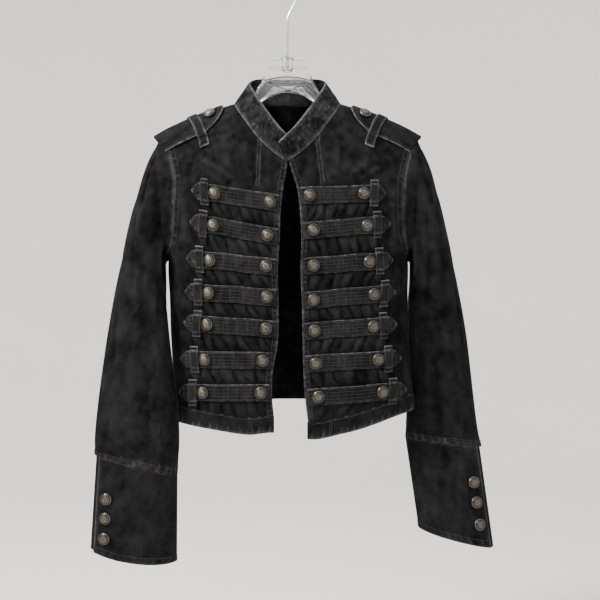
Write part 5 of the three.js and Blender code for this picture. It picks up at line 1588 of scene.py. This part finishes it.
def button_shape():
    """A dome by radius and turn: a low rim, a groove, then a cap whose relief is a sum of rings of
    bells and petals. Returns points with their foot on the seat, faces, and the relief at each point."""
    radius = np.concatenate([[0.2], np.linspace(0.6, 6.9, 15), BUTTON_SKIRT])
    turn = -np.linspace(0, 2 * np.pi, 60, endpoint=False)
    r, a = np.meshgrid(radius, turn, indexing="ij")
    cap = BUTTON_HIGH * np.sqrt(np.clip(1 - (r / 9.6) ** 2, 0, 1)) ** 0.9
    rim = 0.55 * bell(r - 8.2, 0.45) * (0.85 + 0.15 * np.cos(30 * a))
    groove = -0.5 * bell(r - 7.4, 0.35)
    beads = 0.5 * bell(r - 6.2, 0.45) * (0.5 + 0.5 * np.cos(BEADS * a)) ** 1.5
    ring = 0.3 * bell(r - 4.9, 0.3)
    petals = 0.6 * bell(r - 2.9, 1.0) * (0.5 + 0.5 * np.cos(PETALS * a)) ** 0.7
    relief = rim + groove + beads + ring + petals + 0.5 * bell(r, 0.8)
    high = cap + relief
    high[-3:] = np.array([1.3, 0.5, 0.0])[:, None]
    points, faces = ringed(np.stack([r * np.cos(a), r * np.sin(a), high], -1))
    return points, faces, relief.ravel()


def turned_to(points, normal, spin):
    """Points that stand on +Z, spun by an angle and then turned to stand along the normal."""
    normal = unit(np.asarray(normal, float))
    across = unit(np.cross((0, 0, 1), normal) + (1e-6, 0, 0))
    up = np.cross(normal, across)
    x = points[:, :1] * math.cos(spin) - points[:, 1:2] * math.sin(spin)
    y = points[:, :1] * math.sin(spin) + points[:, 1:2] * math.cos(spin)
    return x * across + y * up + points[:, 2:] * normal


antique, tree, shader = material("antique silver", Metallic=1.0, Roughness=0.34)
place = node(tree, "TexCoord").outputs["Object"]
height = node(tree, "Attribute", attribute_name="relief").outputs["Fac"]
rubbing = noise(tree, place, 260.0, 4, 0.6)
bright = maths(tree, "MULTIPLY_ADD", rubbing, 0.6)
bright.node.inputs[2].default_value = -0.2
bright = maths(tree, "ADD", maths(tree, "MULTIPLY", height, 1.6), bright, True)
tree.links.new(blend(tree, *ANTIQUE, bright), shader.inputs["Base Color"])
rough = maths(tree, "SUBTRACT", 0.46, maths(tree, "MULTIPLY", bright, 0.2))
tree.links.new(rough, shader.inputs["Roughness"])
embossed(tree, shader, rubbing, 0.0002, 0.3)
dome_points, dome_faces, dome_relief = button_shape()


def set_button(name, seat, normal, replaced):
    """One button on its seat, each turned by its own angle."""
    spin = 0.7 * sum(ord(letter) for letter in name)
    points = turned_to(dome_points, normal, spin) + seat
    made = put_mesh(name, points, dome_faces, values={"relief": dome_relief})
    made.data.materials.append(antique)
    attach(made, "root")
    if replaced:
        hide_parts(replaced)


def cuff_spot(side, share, turn, out=0.0):
    """One point of a cuff's outer side, by its share of the height and its turn in degrees."""
    return cuff_place(side, np.array([share]), np.array([float(turn)]), out)[0]


for side in ("left", "right"):
    for row in range(strap_count):
        for end, key in (("inner", "in"), ("outer", "out")):
            x = np.array([STRAPS[side][key + "_x"][row]])
            z = np.array([STRAPS[side][key + "_z"][row]])
            seat, normal = front_skin(side, x, z, np.array([LIFT + DOUBLE + 0.5]))
            name = f"{WEARER[side]}_{row + 1}_{end}"
            set_button("dome_" + name, seat[0], normal[0], "button_" + name)
    spot = [np.array([EPAULETTE_BUTTON[key]]) for key in ("x", "roll")]
    seat, normal = over_shoulder(*spot, np.array([flap_top + 0.2]))
    mirror = (SIGN[side], 1, 1)
    set_button("dome_epaulette_" + WEARER[side], seat[0] * mirror, normal[0] * mirror, None)
    for row, share in enumerate(CUFFS[side]["buttons"], 1):
        down = cuff_spot(side, share + 0.05, CUFF_BUTTON) - cuff_spot(side, share - 0.05, CUFF_BUTTON)
        ahead = cuff_spot(side, share, CUFF_BUTTON + 2) - cuff_spot(side, share, CUFF_BUTTON - 2)
        normal = unit(np.cross(down, ahead))
        seat = cuff_spot(side, share, CUFF_BUTTON, 0.4 + LIFT)
        name = f"{WEARER[side]}_{row}"
        set_button("dome_cuff_" + name, seat * mirror, normal * mirror, "cuff_button_" + name)

# Studio
# A pale floor that sweeps up all round the jacket, with one wide soft light above it, a key light from
# the upper left and a weak fill from the right.
FLOOR = {"z": -1180, "reach": 3400, "bend": 1500, "top": 2300}
bend = np.radians(np.linspace(0, 90, 18))
flat_reach = FLOOR["reach"] - FLOOR["bend"]
sweep_r = np.concatenate([[1, 600, 1200], flat_reach + FLOOR["bend"] * np.sin(bend), [FLOOR["reach"]]])
sweep_z = np.concatenate([[FLOOR["z"]] * 3, FLOOR["z"] + FLOOR["bend"] * (1 - np.cos(bend)), [FLOOR["top"]]])
turn = -np.linspace(0, 2 * np.pi, 96, endpoint=False)
sweep = [np.outer(sweep_r, np.cos(turn)), np.outer(sweep_r, np.sin(turn)), np.outer(sweep_z, turn * 0 + 1)]
floor = put_mesh("studio_floor", *ringed(np.stack(sweep, -1), lids=1))
pale, tree, shader = material("studio floor", Roughness=0.9)
place = node(tree, "TexCoord").outputs["Object"]
tint = noise(tree, place, 3.0, 2)
tree.links.new(blend(tree, (0.72, 0.71, 0.69, 1), (0.78, 0.77, 0.75, 1), tint), shader.inputs["Base Color"])
floor.data.materials.append(pale)

LIGHTS = (  # name, place, what it faces, size, watts, colour
    ("key_light", (-1.4, -0.9, 1.0), (0, 0, -0.45), 0.35, 120, (1, 0.97, 0.93)),
    ("fill_light", (1.7, -1.4, -0.2), (0, 0, -0.5), 1.2, 8, (0.94, 0.97, 1)),
    ("top_light", (0, 0, 2.4), (0, -0.001, -1), 3.6, 160, (1, 0.99, 0.97)),
)
for name, at, towards, size, watts, colour in LIGHTS:
    light = bpy.data.lights.new(name, "AREA")
    light.size, light.energy, light.color = size, watts, colour
    lamp = bpy.data.objects.new(name, light)
    facing = np.array(towards) - np.array(at)
    lamp.location = at
    lamp.rotation_euler = (
        math.acos(-facing[2] / np.linalg.norm(facing)),
        0,
        math.atan2(facing[1], facing[0]) - math.pi / 2,
    )
    bpy.context.scene.collection.objects.link(lamp)
WORLD = {"Color": (0.9, 0.93, 1, 1), "Strength": 0.24}
world = bpy.data.worlds.new("studio")
world.use_nodes = True
for key, value in WORLD.items():
    world.node_tree.nodes["Background"].inputs[key].default_value = value
bpy.context.scene.world = world
